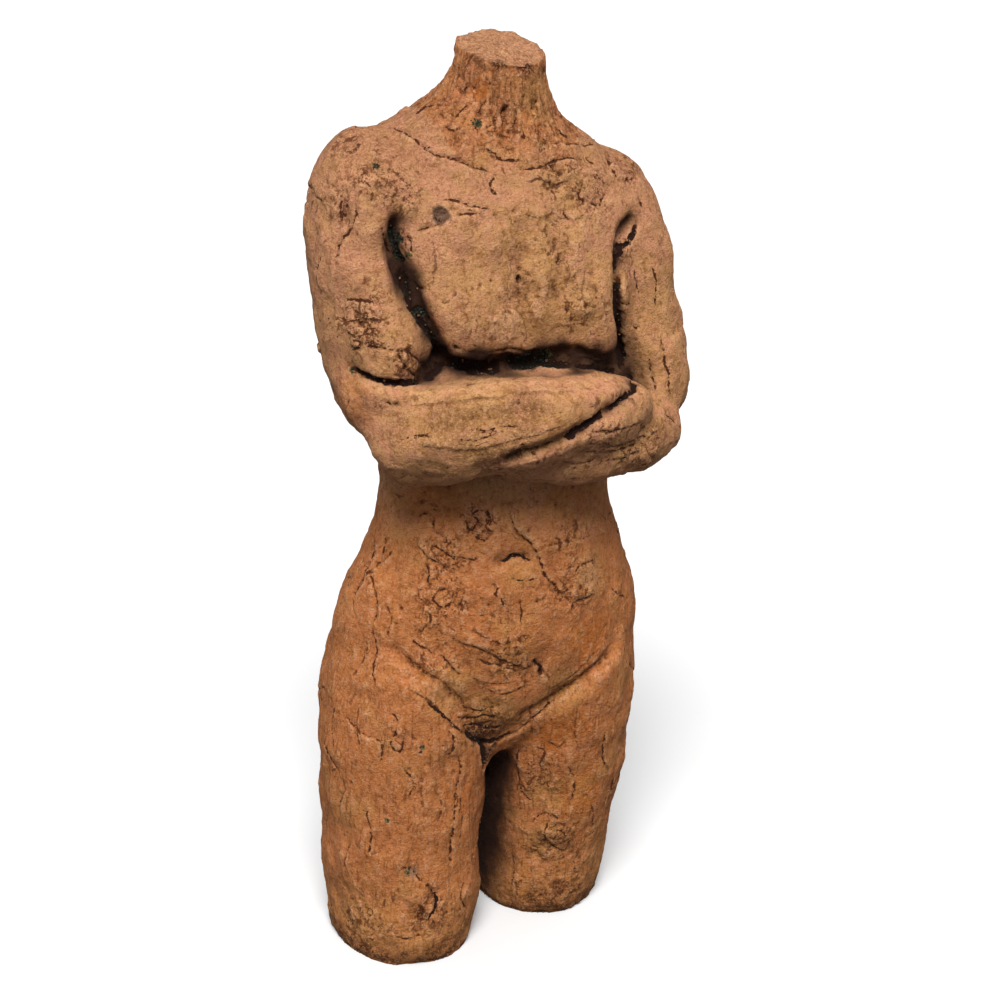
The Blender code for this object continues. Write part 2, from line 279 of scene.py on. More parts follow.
class Skin:
    """The clay surface while it is being worked: its points, its relief and its stains."""

    FINE = 1.6 * MM
    SOFTENING = 34
    SIGHT = 70 * MM
    GLANCES = 40

    def __init__(self, node: bpy.types.Object, view: PhotoView) -> None:
        """Copies the solid's form, remeshes it finely and rounds off its facets."""
        self.view = view
        self.obj = bpy.data.objects.new("clay_skin", node.data.copy())
        bpy.context.scene.collection.objects.link(self.obj)
        self.obj.data.materials.clear()
        self.top = max(vertex.co.z for vertex in node.data.vertices)
        self._remesh()
        self._soften()
        mesh = self.obj.data
        count = len(mesh.vertices)
        self.points = np.empty(count * 3)
        self.normals = np.empty(count * 3)
        mesh.vertices.foreach_get("co", self.points)
        mesh.vertices.foreach_get("normal", self.normals)
        self.points = self.points.reshape(-1, 3)
        self.normals = self.normals.reshape(-1, 3)
        edges = np.empty(len(mesh.edges) * 2, np.int64)
        mesh.edges.foreach_get("vertices", edges)
        self.edges = edges.reshape(-1, 2)
        self.joined = np.maximum(np.bincount(edges, minlength=count), 1)
        self.tree = BVHTree.FromPolygons([v.co for v in mesh.vertices], [p.vertices for p in mesh.polygons])
        self.relief = np.zeros(count)
        self.stains = {stain: np.zeros(count) for stain in Stain}
        self.lines = {"crack_gap": np.full(count, 9.0), "crack_dark": np.zeros(count)}
        # Painted shade: how far the figure closes in on each point.
        self.stains[Stain.PAINTED_SHADE] = self._find_painted_shade(node)

    def _apply(self) -> None:
        """Bakes the modifiers into the mesh."""
        graph = bpy.context.evaluated_depsgraph_get()
        mesh = bpy.data.meshes.new_from_object(self.obj.evaluated_get(graph))
        self.obj.modifiers.clear()
        self.obj.data = mesh

    def _remesh(self) -> None:
        """Gives the form one even fine mesh."""
        remesh = self.obj.modifiers.new("Fine", "REMESH")
        remesh.mode = "VOXEL"
        remesh.voxel_size = self.FINE
        self._apply()

    def _soften(self) -> None:
        """Rounds off the solid's facets, and keeps the cut ends flat and crisp."""
        keep = self.obj.vertex_groups.new(name="soft")
        mesh = self.obj.data
        for vertex in mesh.vertices:
            neck_end = vertex.co.z > self.top * NECK_END and vertex.normal.z > LEVEL
            foot_end = vertex.co.z < self.FINE
            if not neck_end and not foot_end:
                keep.add([vertex.index], 1.0, "REPLACE")
        smooth = self.obj.modifiers.new("Soft", "SMOOTH")
        smooth.factor = 0.6
        smooth.iterations = self.SOFTENING
        smooth.vertex_group = "soft"
        self._apply()

    def _find_painted_shade(self, node: bpy.types.Object) -> np.ndarray:
        """How far each point is closed in by the figure itself, for the painted shade under the arms and between
        the legs.
        """
        mesh = node.data
        tree = BVHTree.FromPolygons([v.co for v in mesh.vertices], [p.vertices for p in mesh.polygons])
        rng = np.random.default_rng(3)
        ways = rng.normal(size=(self.GLANCES, 3))
        ways = [Vector(way / np.linalg.norm(way)) for way in ways]
        corners = KDTree(len(mesh.vertices))
        closed = np.zeros(len(mesh.vertices))
        for k, vertex in enumerate(mesh.vertices):
            start = vertex.co + vertex.normal * 2 * MM
            for way in ways:
                gap = tree.ray_cast(start, (vertex.normal + way * 0.98).normalized(), self.SIGHT)[3]
                if gap is not None:
                    closed[k] += (1 - gap / self.SIGHT) / self.GLANCES
            corners.insert(vertex.co, k)
        corners.balance()
        nearest = [corners.find(point)[1] for point in self.points.tolist()]
        return self.smoothed(closed[nearest], 30)

    def hit(self, place: tuple[float, float], seen: Seen = Seen.PHOTO) -> tuple[Vector, Vector] | None:
        """Where a pixel, or a place across and up on another side, falls on the skin.

        Args:
            place: A pixel of the photograph, or metres across and up for the other sides.
            seen: The side that the skin is looked at from.

        Returns:
            The point and the normal there, or None where the skin is missed.
        """
        if seen is Seen.PHOTO:
            start, towards = self.view.eye(), self.view.ray(place)
        elif seen is Seen.BACK:
            start, towards = Vector((place[0], 1, place[1])), Vector((0, -1, 0))
        elif seen is Seen.RIGHT:
            start, towards = Vector((-1, place[0], place[1])), Vector((1, 0, 0))
        else:
            start, towards = Vector((1, place[0], place[1])), Vector((-1, 0, 0))
        point, normal, _, _ = self.tree.ray_cast(start, towards)
        return None if point is None else (point, normal)

    def trace(self, stroke: Stroke, seed: int) -> tuple[np.ndarray, np.ndarray]:
        """The stroke's line on the skin, bent at random by as much as it wanders.

        Args:
            stroke: The stroke to lay.
            seed: Which random bends it gets.

        Returns:
            The line's points and the skin's normals there, each of three columns.
        """
        knots = [Vector(knot) for knot in stroke.path]
        knots = [knots[0] * 2 - knots[1], *knots, knots[-1] * 2 - knots[-2]]
        unit = 1.0 if stroke.seen is Seen.PHOTO else MM
        line, normals = [], []
        for before, start, end, after in zip(knots, knots[1:], knots[2:], knots[3:]):
            steps = max(2, round((end - start).length / unit))
            for k in range(steps):
                t = k / steps
                place = start * 2 + (end - before) * t
                place += (before * 2 - start * 5 + end * 4 - after) * t ** 2
                place += (start * 3 - before - end * 3 + after) * t ** 3
                found = self.hit(place / 2, stroke.seen)
                if found is not None:
                    line.append(found[0])
                    normals.append(found[1])
        line, normals = np.array(line).reshape(-1, 3), np.array(normals).reshape(-1, 3)
        if len(line) > 2:
            bend = waves(line + seed, 5 * MM, seed, 2)
            line = line + self._across(line, normals) * (bend * stroke.wander)[:, None]
        return line, normals

    @staticmethod
    def _across(line: np.ndarray, normals: np.ndarray) -> np.ndarray:
        """The directions in the surface towards a line's left."""
        aside = np.cross(normals, np.gradient(line, axis=0))
        return aside / (np.linalg.norm(aside, axis=1, keepdims=True) + 1e-9)

    def score(self, stroke: Stroke, seed: int) -> None:
        """Presses a stroke into the relief, and notes its dark line and its moss.

        Args:
            stroke: The stroke to press.
            seed: Which random bends it gets.
        """
        line, normals = self.trace(stroke, seed)
        if len(line) < 3:
            LOG.info("a %s missed the skin", stroke.cut.name.lower())
            return
        reach = max(stroke.half_width * 1.6, 5 * MM, stroke.reach * 1.6 if stroke.lift else 0)
        low, high = line.min(axis=0) - reach, line.max(axis=0) + reach
        near = np.where(((self.points > low) & (self.points < high)).all(axis=1))[0]
        gaps = np.full(len(near), np.inf)
        nearest = np.zeros(len(near), np.int64)
        for k, point in enumerate(line):
            gap = ((self.points[near] - point) ** 2).sum(axis=1)
            closer = gap < gaps
            gaps[closer] = gap[closer]
            nearest[closer] = k
        gaps = np.sqrt(gaps)
        side = ((self.points[near] - line[nearest]) * self._across(line, normals)[nearest]).sum(axis=1)
        along = nearest / max(1, len(line) - 1)
        taper = np.clip(np.minimum(along, 1 - along) * 6, 0.1, 1)
        within = gaps / (stroke.half_width * (1 + 0.4 * waves(self.points[near], 6 * MM, 29, 2)))
        sharp, soft = np.clip(1 - within, 0, 1) ** 1.1, np.clip(1 - within ** 2, 0, 1) ** 2
        deep = sharp if stroke.cut in (Cut.CREASE, Cut.CRACK) else soft
        sign = 1 if stroke.cut is Cut.RIDGE else -1
        self.relief[near] += sign * stroke.depth * deep * taper
        if stroke.lift:
            way = side * math.copysign(1, stroke.lift)
            raised = step(way, -0.8 * MM, 0.9 * MM) * np.exp(-np.clip(way, 0, None) / (stroke.reach * 0.5))
            close = step(gaps, stroke.reach * 1.6, stroke.reach * 0.5)
            self.relief[near] += abs(stroke.lift) * raised * close * np.clip(taper * 1.2 - 0.2, 0, 1)
        # A crease's depth is darkened with painted shade.
        if stroke.cut is Cut.CREASE:
            self.stain(near, Stain.DIRT_AND_SHADE, np.clip(sharp * 1.8, 0, 1) * taper)
        if stroke.moss:
            self.stain(near, Stain.MOSS, step(gaps, 5.0 * MM, 1.0 * MM) * stroke.moss * taper)
        # The dark line of a crack; in a crease it is painted shade in the crease's depth.
        if stroke.dark:
            lead = stroke.half_width * 0.3 if stroke.cut is Cut.CREASE else 0.0
            dark = step(gaps - lead, 3.0 * MM, 1.7 * MM) * stroke.dark * np.clip(taper * 1.5, 0, 1)
            ahead = gaps < np.abs(self.lines["crack_gap"][near]) * MM
            signed = np.sign(side[ahead]) * np.clip(gaps[ahead] - lead, 0, None) / MM
            self.lines["crack_gap"][near[ahead]] = signed
            self.lines["crack_dark"][near[ahead]] = dark[ahead]

    def stain(self, where: np.ndarray, stain: Stain, strength: np.ndarray) -> None:
        """Lays a stain on some points, where it is stronger than what is there."""
        self.stains[stain][where] = np.maximum(self.stains[stain][where], strength)

    def spot(self, patch: Patch) -> None:
        """Lays a patch's stain on the skin with a ragged edge, and raises it if it has a rise."""
        found = self.hit(patch.pixel)
        if found is None:
            LOG.info("a %s patch missed the skin at %s", patch.stain.name.lower(), patch.pixel)
            return
        gaps = np.linalg.norm(self.points - np.array(found[0]), axis=1) / patch.radius
        near = np.where(gaps < 1.8)[0]
        ragged = gaps[near] + 0.4 * waves(self.points[near], max(patch.radius * 0.6, 6 * MM), 31, 3)
        self.stain(near, patch.stain, step(ragged, 1.2, 0.4) * patch.strength)
        self.relief[near] += step(ragged, 1.0, 0.7) * patch.rise

    def pit(self, centre: Vector, radius: float, depth: float) -> None:
        """Sinks one small round hole, dark at its bottom."""
        reach = radius * 1.3
        close = np.where((np.abs(self.points - np.array(centre)) < reach).all(axis=1))[0]
        gaps = np.linalg.norm(self.points[close] - np.array(centre), axis=1) / radius
        hollow = np.clip(1 - gaps ** 2, 0, 1) ** 1.5
        self.relief[close] -= depth * hollow
        # The pit's bottom is darkened with dirt and painted shade.
        self.stain(close, Stain.DIRT_AND_SHADE, hollow ** 0.5 * 0.95)

    def smoothed(self, values: np.ndarray, rounds: int) -> np.ndarray:
        """The values averaged with their neighbours along the mesh's edges, round after round."""
        count = len(values)
        first, second = self.edges[:, 0], self.edges[:, 1]
        for _ in range(rounds):
            total = np.bincount(first, values[second], count) + np.bincount(second, values[first], count)
            values = 0.4 * values + 0.6 * total / self.joined
        return values

    def slope(self, values: np.ndarray) -> np.ndarray:
        """How fast the values change along the surface, in their unit to a metre."""
        first, second = self.edges[:, 0], self.edges[:, 1]
        length = np.linalg.norm(self.points[first] - self.points[second], axis=1)
        change = np.abs(values[first] - values[second]) / length
        total = np.bincount(first, change, len(values)) + np.bincount(second, change, len(values))
        return self.smoothed(total / self.joined / 0.64, 2)

    def finish(self, most_triangles: int) -> bpy.types.Object:
        """Moves the skin by its relief, thins it out where it is plain and hands its stains to the material.

        Args:
            most_triangles: How many triangles the finished skin may have.

        Returns:
            The finished skin.
        """
        mesh = self.obj.data
        standing = (self.points[:, 2] < self.FINE) & (self.normals[:, 2] < -LEVEL)
        self.relief[standing] = 0
        moved = self.points + self.normals * self.relief[:, None]
        moved[:, 2] = np.clip(moved[:, 2], 0.0, None)
        mesh.vertices.foreach_set("co", moved.ravel())
        values = {stain.value: np.clip(level, 0, 1) for stain, level in self.stains.items()}
        values.update({name: np.clip(level, -9, 9) for name, level in self.lines.items()})
        for name, level in values.items():
            attribute = mesh.attributes.new(name, "FLOAT", "POINT")
            attribute.data.foreach_set("value", level.astype(np.float32))
        mesh.update()
        triangles = sum(len(polygon.vertices) - 2 for polygon in mesh.polygons)
        self.obj.vertex_groups.clear()
        thin = self.obj.modifiers.new("Thin", "DECIMATE")
        thin.ratio = min(1.0, most_triangles / triangles)
        self._apply()
        self.obj.data.shade_smooth()
        LOG.info("skin: %d triangles before thinning, %d after", triangles, len(self.obj.data.polygons))
        return self.obj


@dataclass(frozen=True)
class Neck:
    """The neck, snapped off above the throat: a rough sloping end over a streaked, grooved column."""

    groove_depth: float = 0.9 * MM
    groove_width: float = 4.2 * MM
    end_relief: float = 0.9 * MM
    rim_relief: float = 0.9 * MM
    foot_height: float = 0.650
    strokes: tuple[Stroke, ...] = (
        fold("470,64 485,71 502,68 520,68 542,65", 5.0, 1.6),
        crack("455,118 463,108 470,104", 0.9),
        crack("462,92 470,86 476,90", 1.2),
        crack("478,113 482,106 487,99", 2.0, 2.6),
        crack("500,114 506,109 508,103", 1.8, 2.4),
        crack("522,130 524,137 526,142", 1.0),
        crack("535,131 540,137 546,142", 1.0),
        crack("415,117 425,110 436,106", 0.8, 2.0, 1.6, 7.0),
        crack("444,128 452,131 462,129", 0.7, 2.0, 1.2, 6.0),
        crack("486,128 493,124 497,116", 0.8),
        crack("513,126 517,118 515,108", 0.8),
        crack("556,128 562,135 570,139", 0.8, 2.0, 1.2, 7.0),
        crack("531,112 536,104 538,96", 0.9),
    )
    patches: tuple[Patch, ...] = (
        *spots(Stain.ORANGE, (481, 90, 13, 1.0), (530, 120, 12, 0.8), (505, 130, 14, 0.7)),
        *spots(Stain.DIRT_AND_SHADE, (500, 66, 11, 0.9), (530, 68, 12, 0.95), (478, 64, 9, 0.8), (465, 90, 8, 0.6),
               (500, 108, 14, 0.55), (545, 112, 12, 0.5), (395, 113, 6, 0.9, 2.6), (405, 113, 5, 0.7, 1.6)),
        *spots(Stain.MOSS, (477, 124, 5, 0.8), (541, 149, 4, 0.6)),
        *spots(Stain.SCALES, (505, 125, 24, 0.9), (545, 130, 20, 0.8), (460, 120, 16, 0.6)),
        *spots(Stain.OCHRE, (535, 95, 24, 0.8)),
    )
    pits: tuple[Pit, ...] = (
        (462, 92, 2.2), (466, 87, 1.8), (475, 88, 1.8), (480, 114, 3.2), (505, 111, 3.2), (453, 115, 1.6),
        (525, 97, 1.8), (476, 84, 1.4), (498, 98, 1.6), (516, 88, 1.6), (533, 84, 1.6), (490, 84, 1.4),
    )

    def work(self, skin: Skin) -> None:
        """Breaks the neck's end, grooves its column and streaks it."""
        points, normals = skin.points, skin.normals
        end = (points[:, 2] > skin.top * NECK_END) & (normals[:, 2] > LEVEL)
        middle = points[end].mean(axis=0)
        radius = np.linalg.norm((points - middle)[:, :2], axis=1)
        inside = step(radius, 36 * MM, 24 * MM)
        rough = waves(points, 7 * MM, 41, 3) + 0.9 * np.abs(waves(points * (1, 2.4, 1), 5 * MM, 43, 2)) - 0.3
        skin.relief[end] += (rough * (0.5 + 0.5 * inside))[end] * self.end_relief
        skin.stain(end, Stain.PALE, np.full(end.sum(), 0.55))
        skin.stain(end, Stain.PINK, np.full(end.sum(), 0.8))
        below = skin.top - points[:, 2]
        rim = step(below, 30 * MM, 8 * MM) * (radius < 48 * MM) * ~end
        skin.relief += rim * waves(points, 9 * MM, 47, 2) * self.rim_relief
        angle = np.arctan2(points[:, 1] - middle[1], points[:, 0] - middle[0])
        column = step(points[:, 2], self.foot_height, self.foot_height + 35 * MM) * (radius < 62 * MM) * ~end
        streak = np.stack([angle * 34 * MM, np.zeros(len(angle)), points[:, 2] * 0.2], axis=1)
        grooves = waves(streak, self.groove_width, 53, 2)
        skin.relief += column * grooves * self.groove_depth
        everywhere = np.arange(len(points))
        skin.stain(everywhere, Stain.STREAKS, column)
        skin.stain(everywhere, Stain.DIRT_AND_SHADE, column * step(grooves, 0.1, -0.6) * 0.75)
        skin.stain(everywhere, Stain.ORANGE, column * 0.55)
        skin.stain(everywhere, Stain.SCALES, column * 0.45)


@dataclass(frozen=True)
class Shoulders:
    """The shoulders and collarbones: broad smooth slabs with long wandering cracks between them."""

    strokes: tuple[Stroke, ...] = (
        crack("387,125 400,131 412,137 427,150 440,156 457,160 470,166 497,174", 1.5, 2.4, -1.5, 14.0),
        crack("497,174 491,181 491,187 496,196 503,201", 1.1, 2.2, 1.0),
        crack("480,149 490,151 500,159 512,161 522,161", 1.0, 2.2, 1.3, 9.0),
        crack("515,170 532,169 545,165 560,160 575,159 583,162", 1.4, 2.4, -1.4, 11.0),
        crack("550,165 555,171 562,177", 2.4, 3.0),
        crack("547,179 552,184 558,188", 1.4),
        crack("585,157 590,163 594,166", 0.9),
        crack("606,156 610,167 617,177 625,180 637,176", 1.8, 2.6, 1.6, 10.0),
        crack("577,190 582,200 590,204 600,207", 1.1, 2.2, 1.0),
        crack("600,207 602,200 607,193", 0.9),
        crack("640,198 643,205 648,210", 0.8),
        ledge("350,133 360,127 372,125 385,125", 1.4, 9.0),
        crack("328,137 335,134 343,134", 0.9, 2.0, 1.0),
        ledge("345,152 352,152 358,147 362,142", 1.0, 8.0),
        ledge("382,168 394,172 402,180 404,192", 1.2, 9.0),
        ledge("366,180 372,190 370,203", 1.0, 8.0),
        ledge("525,182 540,180 556,184 570,181", 1.0, 9.0),
        ledge("590,176 600,180 606,190", 1.1, 9.0),
        ridge("405,140 430,160 462,172 492,184", 9.0, 1.2),
        ridge("520,180 550,176 585,170 600,170", 9.0, 1.2),
        fold("500,200 512,190 512,178", 8.0, 1.4),
    )
    patches: tuple[Patch, ...] = (
        *spots(Stain.PINK, (340, 165, 50, 0.8), (425, 165, 30, 0.6), (625, 210, 40, 0.7), (470, 190, 24, 0.6)),
        *spots(Stain.SCALES, (400, 188, 24, 1.0), (372, 175, 20, 0.9), (345, 145, 18, 0.8), (560, 175, 28, 0.9),
               (620, 160, 22, 0.9), (590, 195, 20, 0.8)),
        *spots(Stain.MOSS, (376, 167, 4.5, 0.8), (428, 149, 2.5, 0.5), (634, 158, 3, 0.4)),
        *spots(Stain.DIRT_AND_SHADE, (340, 133, 9, 0.5), (395, 185, 14, 0.45), (378, 186, 5, 0.8), (618, 160, 11, 0.6),
               (580, 198, 13, 0.5), (555, 168, 8, 0.6)),
        *spots(Stain.OCHRE, (560, 190, 28, 0.6)),
    )
    pits: tuple[Pit, ...] = (
        (460, 160, 1.8), (473, 165, 1.6), (378, 185, 2.4), (372, 200, 1.4), (388, 208, 1.4), (551, 166, 2.4),
        (440, 157, 1.6), (400, 133, 1.4),
    )
    foot_height: float = 0.590
    dust: float = 0.55

    def work(self, skin: Skin) -> None:
        """Dulls the tops of the shoulders with settled dust."""
        high = step(skin.points[:, 2], self.foot_height, self.foot_height + 30 * MM)
        level = step(skin.normals[:, 2], 0.1, 0.8)
        skin.stain(np.arange(len(level)), Stain.DIRT_AND_SHADE, high * level * self.dust)


@dataclass(frozen=True)
class Chest:
    """The chest: upright bands of ochre clay with a squared lump, over a dark mossy edge."""

    strokes: tuple[Stroke, ...] = (
        crack("442,199 457,201 470,206 482,208 496,210", 1.2, 2.2, -0.8),
        crack("457,215 465,213 474,214 482,214", 1.2, 2.2, -0.8, 7.0),
        crack("417,231 424,229 431,226 441,225", 1.7, 2.6, -0.7, 8.0),
        crack("565,210 567,217 573,223 577,225", 1.4, 2.4, 0.8),
        ledge("520,212 535,218 552,214 566,220 585,218", 1.0, 9.0, 0.35),
        fold("520,215 523,240 519,280 524,340", 8.0, 1.8),
        fold("556,235 560,262 557,295 560,340", 7.0, 1.5),
        fold("466,240 462,280 470,330", 8.0, 1.2),
        fold("590,255 594,290 598,345", 7.0, 1.2),
        ridge("540,220 541,260 540,335", 8.0, 1.4),
        ridge("497,235 496,270 502,305", 8.0, 1.2),
        ridge("575,230 577,270 580,340", 7.0, 1.3),
        ridge("445,245 442,290 452,335", 8.0, 1.0),
        ledge("432,238 436,262 431,290", -0.9, 9.0, 0.4),
        ledge("508,240 512,262 508,285 512,300", 0.9, 8.0, 0.35),
        ledge("566,250 569,272 565,298 570,320", 0.9, 8.0, 0.35),
        ledge("545,268 549,285 543,305", -0.8, 7.0, 0.35),
        ledge("586,270 582,292 587,315", -0.9, 7.0, 0.35),
        ridge("447,350 470,356 492,356", 7.0, 3.0),
        ridge("560,352 580,355 598,358 612,358", 8.0, 4.0),
        crease("441,355 455,362 470,365 487,366 507,364", 6.5, 9.0, 0.35, 1.0),
        crease("500,363 517,361 530,360 545,360 562,361 576,365", 7.0, 10.0, 0.6, 1.2),
        crack("488,353 503,351 512,349 524,351 538,350 556,351", 2.6, 3.2, 1.0),
        crease("574,364 590,367 604,369 620,370", 3.6, 5.5, 0.1, 1.0),
        crease("424,378 432,372 438,364 444,357", 5.0, 5.0),
        crack("452,349 462,350 474,354", 1.0),
        crack("520,275 520,280 520,285", 2.6, 2.4),
        ledge("522,347 526,335 522,318 512,308 494,309", 2.0, 9.0, 0.3),
        ledge("486,342 488,326 494,311", -1.0, 8.0, 0.2),
    )
    patches: tuple[Patch, ...] = (
        *spots(Stain.OCHRE, (530, 235, 42, 0.7), (545, 300, 50, 0.9), (470, 290, 36, 0.6), (605, 290, 34, 0.6)),
        *spots(Stain.PALE, (505, 326, 15, 1.0, 1.4), (470, 335, 12, 0.5)),
        # The two spots in the crevice under the chest (530, 356 and 505, 355) are painted shade.
        *spots(Stain.DIRT_AND_SHADE, (525, 288, 13, 0.6), (565, 275, 12, 0.5), (530, 320, 14, 0.5), (513, 250, 13, 0.5),
               (548, 325, 12, 0.4), (530, 356, 12, 1.0), (505, 355, 8, 0.8)),
        *spots(Stain.SCALES, (520, 300, 28, 0.7), (560, 250, 26, 0.6), (590, 205, 20, 0.7), (590, 310, 26, 0.7),
               (455, 320, 20, 0.5)),
        *spots(Stain.MOSS, (525, 355, 7, 0.7), (545, 356, 7, 0.8), (452, 361, 5, 0.7)),
        *spots(Stain.PINK, (450, 250, 26, 0.6)),
    )
    pits: tuple[Pit, ...] = (
        (494, 324, 1.6), (520, 279, 2.4), (511, 288, 1.4), (525, 284, 1.4), (515, 222, 1.4), (564, 235, 1.6),
        (575, 277, 1.8), (455, 347, 1.8), (540, 262, 1.2), (552, 281, 1.3), (536, 240, 1.3), (500, 264, 1.2),
    )
    chip_pixel: tuple[int, int] = (441, 216)
    chip_radius: float = 6.5 * MM
    chip_depth: float = 2.8 * MM

    def work(self, skin: Skin) -> None:
        """Knocks out the grey chip below the right collarbone."""
        found = skin.hit(self.chip_pixel)
        if found is not None:
            gaps = np.linalg.norm(skin.points - np.array(found[0]), axis=1) / self.chip_radius
            gaps = gaps * (1 + 0.3 * waves(skin.points, 6 * MM, 59, 2))
            skin.relief -= step(gaps, 1.1, 0.7) * self.chip_depth
            everywhere = np.arange(len(gaps))
            skin.stain(everywhere, Stain.GREY, step(gaps, 1.15, 0.9))
            skin.stain(everywhere, Stain.DIRT_AND_SHADE, step(np.abs(gaps - 1.0), 0.3, 0.0) * 0.5)


@dataclass(frozen=True)
class Arms:
    """The folded arms: deep mossy creases beside the chest, scaly right upper arm, ridged forearms."""

    strokes: tuple[Stroke, ...] = (
        crease("393,222 391,234 395,244 398,256 402,268", 4.4, 5.0, 0.7, 0.9),
        crack("381,225 382,238 387,248 394,258", 1.4, 2.4, 0.8, 7.0),
        crack("404,232 410,240 412,250 418,258", 1.4, 2.6),
        crease("400,262 404,284 412,307 424,324 434,342 441,362", 3.8, 6.0, 0.4, 1.6),
        crease("412,306 421,311 432,320", 4.0, 3.0, 0.6),
        crack("413,282 420,288 432,290", 1.0),
        crack("355,199 356,212 352,227 342,242 337,255 336,268", 1.6, 2.4, 1.3, 10.0),
        crack("341,195 340,210 342,224", 1.2, 2.4, -0.8, 6.0),
        crack("347,204 345,216 348,226", 1.0, 2.6),
        crack("342,301 357,300 375,303 390,306", 1.1, 2.2, -1.2, 9.0),
        ledge("335,317 350,321 368,319 385,323", 1.1, 7.0, 0.6),
        ledge("345,332 360,336 372,333 386,338", 1.0, 7.0, 0.6),
        ledge("352,310 362,314 375,311", 0.9, 5.0, 0.6),
        crack("350,351 362,346 378,347 395,351", 1.0, 2.2, 1.2, 8.0),
        crack("358,326 370,329 380,327", 0.9),
        crack("352,340 366,343 377,340", 0.9),
        crease("350,366 365,374 380,380 395,382 412,382 427,376", 3.8, 5.0, 0.3, 1.6),
        crack("397,352 402,362 410,371 418,378", 2.0, 3.0, 0.9, 8.0),
        crack("404,350 412,354 420,361 426,371", 1.6, 2.4),
        crack("395,352 404,350 414,349", 1.4, 2.4),
        crack("622,297 620,305 623,312", 1.2),
        crack("633,303 626,306 622,303", 1.2),
        crease("636,220 634,231 628,243 618,245 620,252 614,262 616,276", 3.4, 3.6, 0.1, 0.8),
        crease("617,272 618,292 620,318 619,336 622,360 627,374", 5.0, 7.5, 0.15, 1.0),
        crease("625,368 632,384 631,392 618,400 605,412", 3.6, 4.6, 0.05, -0.8),
        crease("607,410 590,422 575,432 562,441", 4.2, 5.0, 0.1, 1.2),
        crack("562,440 545,445 532,449 515,453", 1.4, 2.4, -1.2),
        crack("382,401 392,404 400,402", 1.4),
        ridge("380,395 402,396 430,394 470,389 520,384 570,382 600,378", 7.0, 1.8),
        Stroke(Cut.FOLD, pixels("398,406 425,405 455,401 495,398 530,394 565,392 597,386"),
               3.6 * MM, 0.9 * MM, 1.6 * MM, 13 * MM, 0.28),
        fold("400,428 450,426 500,420 550,410", 11.0, 1.6),
        ledge("412,447 435,446 470,450 495,445 520,439 550,431 575,420", 1.5, 11.0, 0.4),
        crack("400,440 415,436 432,438", 0.8, 2.0, 0.7, 6.0),
        crack("471,430 485,431 505,427 520,428", 0.9, 2.0, 0.7),
        crack("455,439 475,440 495,435", 0.8, 2.0, 0.6),
        crack("590,432 605,431 625,427 640,422 646,418", 1.2, 2.2, 1.0, 8.0),
        ledge("600,441 617,444 636,438 655,432 668,426", 1.3, 8.0, 0.6),
        crack("580,452 600,451 622,448 640,442", 1.0, 2.2, 0.9, 7.0),
        crack("605,460 625,456 642,450", 0.9, 2.0, 0.7),
        crack("560,462 580,462 597,458", 0.8, 2.0, 0.7),
        crack("632,325 636,328 640,326", 1.2, 2.0, 0.8, 5.0),
        crack("662,337 665,360 669,378 670,400", 1.0, 2.0, 0.8, 8.0),
        crack("665,412 671,418 677,424", 1.6, 2.6),
        crack("648,352 652,372 656,392", 0.9, 2.0, -0.7, 7.0),
        crack("640,300 637,285 634,268", 0.9, 2.0, 0.8),
        crack("652,262 656,285 654,308", 0.8, 2.0, 0.7),
        ledge("480,470 500,474 525,478 552,480", 1.0, 7.0),
        crack("373,455 370,448 371,462", 1.2),
        crack("322,250 318,275 321,300", 0.8, 2.0, 0.7),
        fold("345,372 352,384 357,398", 8.0, 1.5),
        crack("345,385 350,398 348,412", 0.7, 2.0, 0.6),
    )
    patches: tuple[Patch, ...] = (
        *spots(Stain.PINK, (335, 260, 46, 0.7), (350, 420, 34, 0.8)),
        *spots(Stain.ORANGE, (350, 400, 24, 0.5)),
        *spots(Stain.OCHRE, (480, 418, 42, 0.8), (430, 418, 30, 0.8), (550, 415, 32, 0.8), (650, 380, 34, 0.7),
               (640, 445, 30, 0.7), (390, 345, 30, 0.5), (660, 300, 34, 0.5), (322, 348, 5, 0.4, 1.8)),
        # Pale spots on the forearms' top plane: pale clay, and painted light where the plane faces the lamp.
        *spots(Stain.PALE, (480, 388, 18, 0.5), (530, 383, 18, 0.4), (430, 392, 18, 0.4)),
        *spots(Stain.SCALES, (365, 325, 30, 1.0), (405, 362, 18, 1.0), (640, 450, 28, 0.9), (610, 440, 20, 0.7),
               (520, 465, 34, 0.6), (330, 200, 26, 0.7), (620, 250, 18, 0.9), (402, 240, 12, 0.9)),
        *spots(Stain.MOSS, (400, 238, 6, 0.75), (408, 256, 6, 0.7), (420, 312, 6, 0.8), (327, 323, 4, 0.6),
               (337, 333, 3, 0.5), (351, 371, 4, 0.8), (617, 445, 4, 0.5), (572, 412, 3.5, 0.45),
               (618, 285, 4, 0.4)),
        # The spot under the forearms (497, 462) is painted shade there.
        *spots(Stain.DIRT_AND_SHADE, (450, 426, 28, 0.6), (520, 414, 28, 0.6), (395, 428, 20, 0.5), (500, 385, 40, 0.25),
               (397, 236, 7, 0.9), (410, 365, 13, 0.8), (370, 330, 16, 0.35), (345, 215, 9, 0.75),
               (620, 257, 10, 0.8), (670, 415, 10, 0.6), (637, 385, 7, 0.6), (470, 443, 18, 0.5),
               (560, 432, 14, 0.6), (497, 462, 20, 0.7), (365, 402, 7, 0.5), (660, 432, 13, 0.6),
               (600, 450, 16, 0.45), (655, 350, 14, 0.35)),
    )
    pits: tuple[Pit, ...] = (
        (416, 400, 2.6), (446, 406, 1.8), (481, 410, 1.3), (519, 403, 2.6), (536, 410, 1.4), (563, 390, 1.2),
        (574, 467, 1.8), (641, 425, 2.0), (636, 340, 1.6), (652, 378, 1.4), (392, 337, 1.4), (372, 322, 1.4),
        (405, 371, 2.4), (355, 334, 1.6), (610, 425, 1.4),
    )


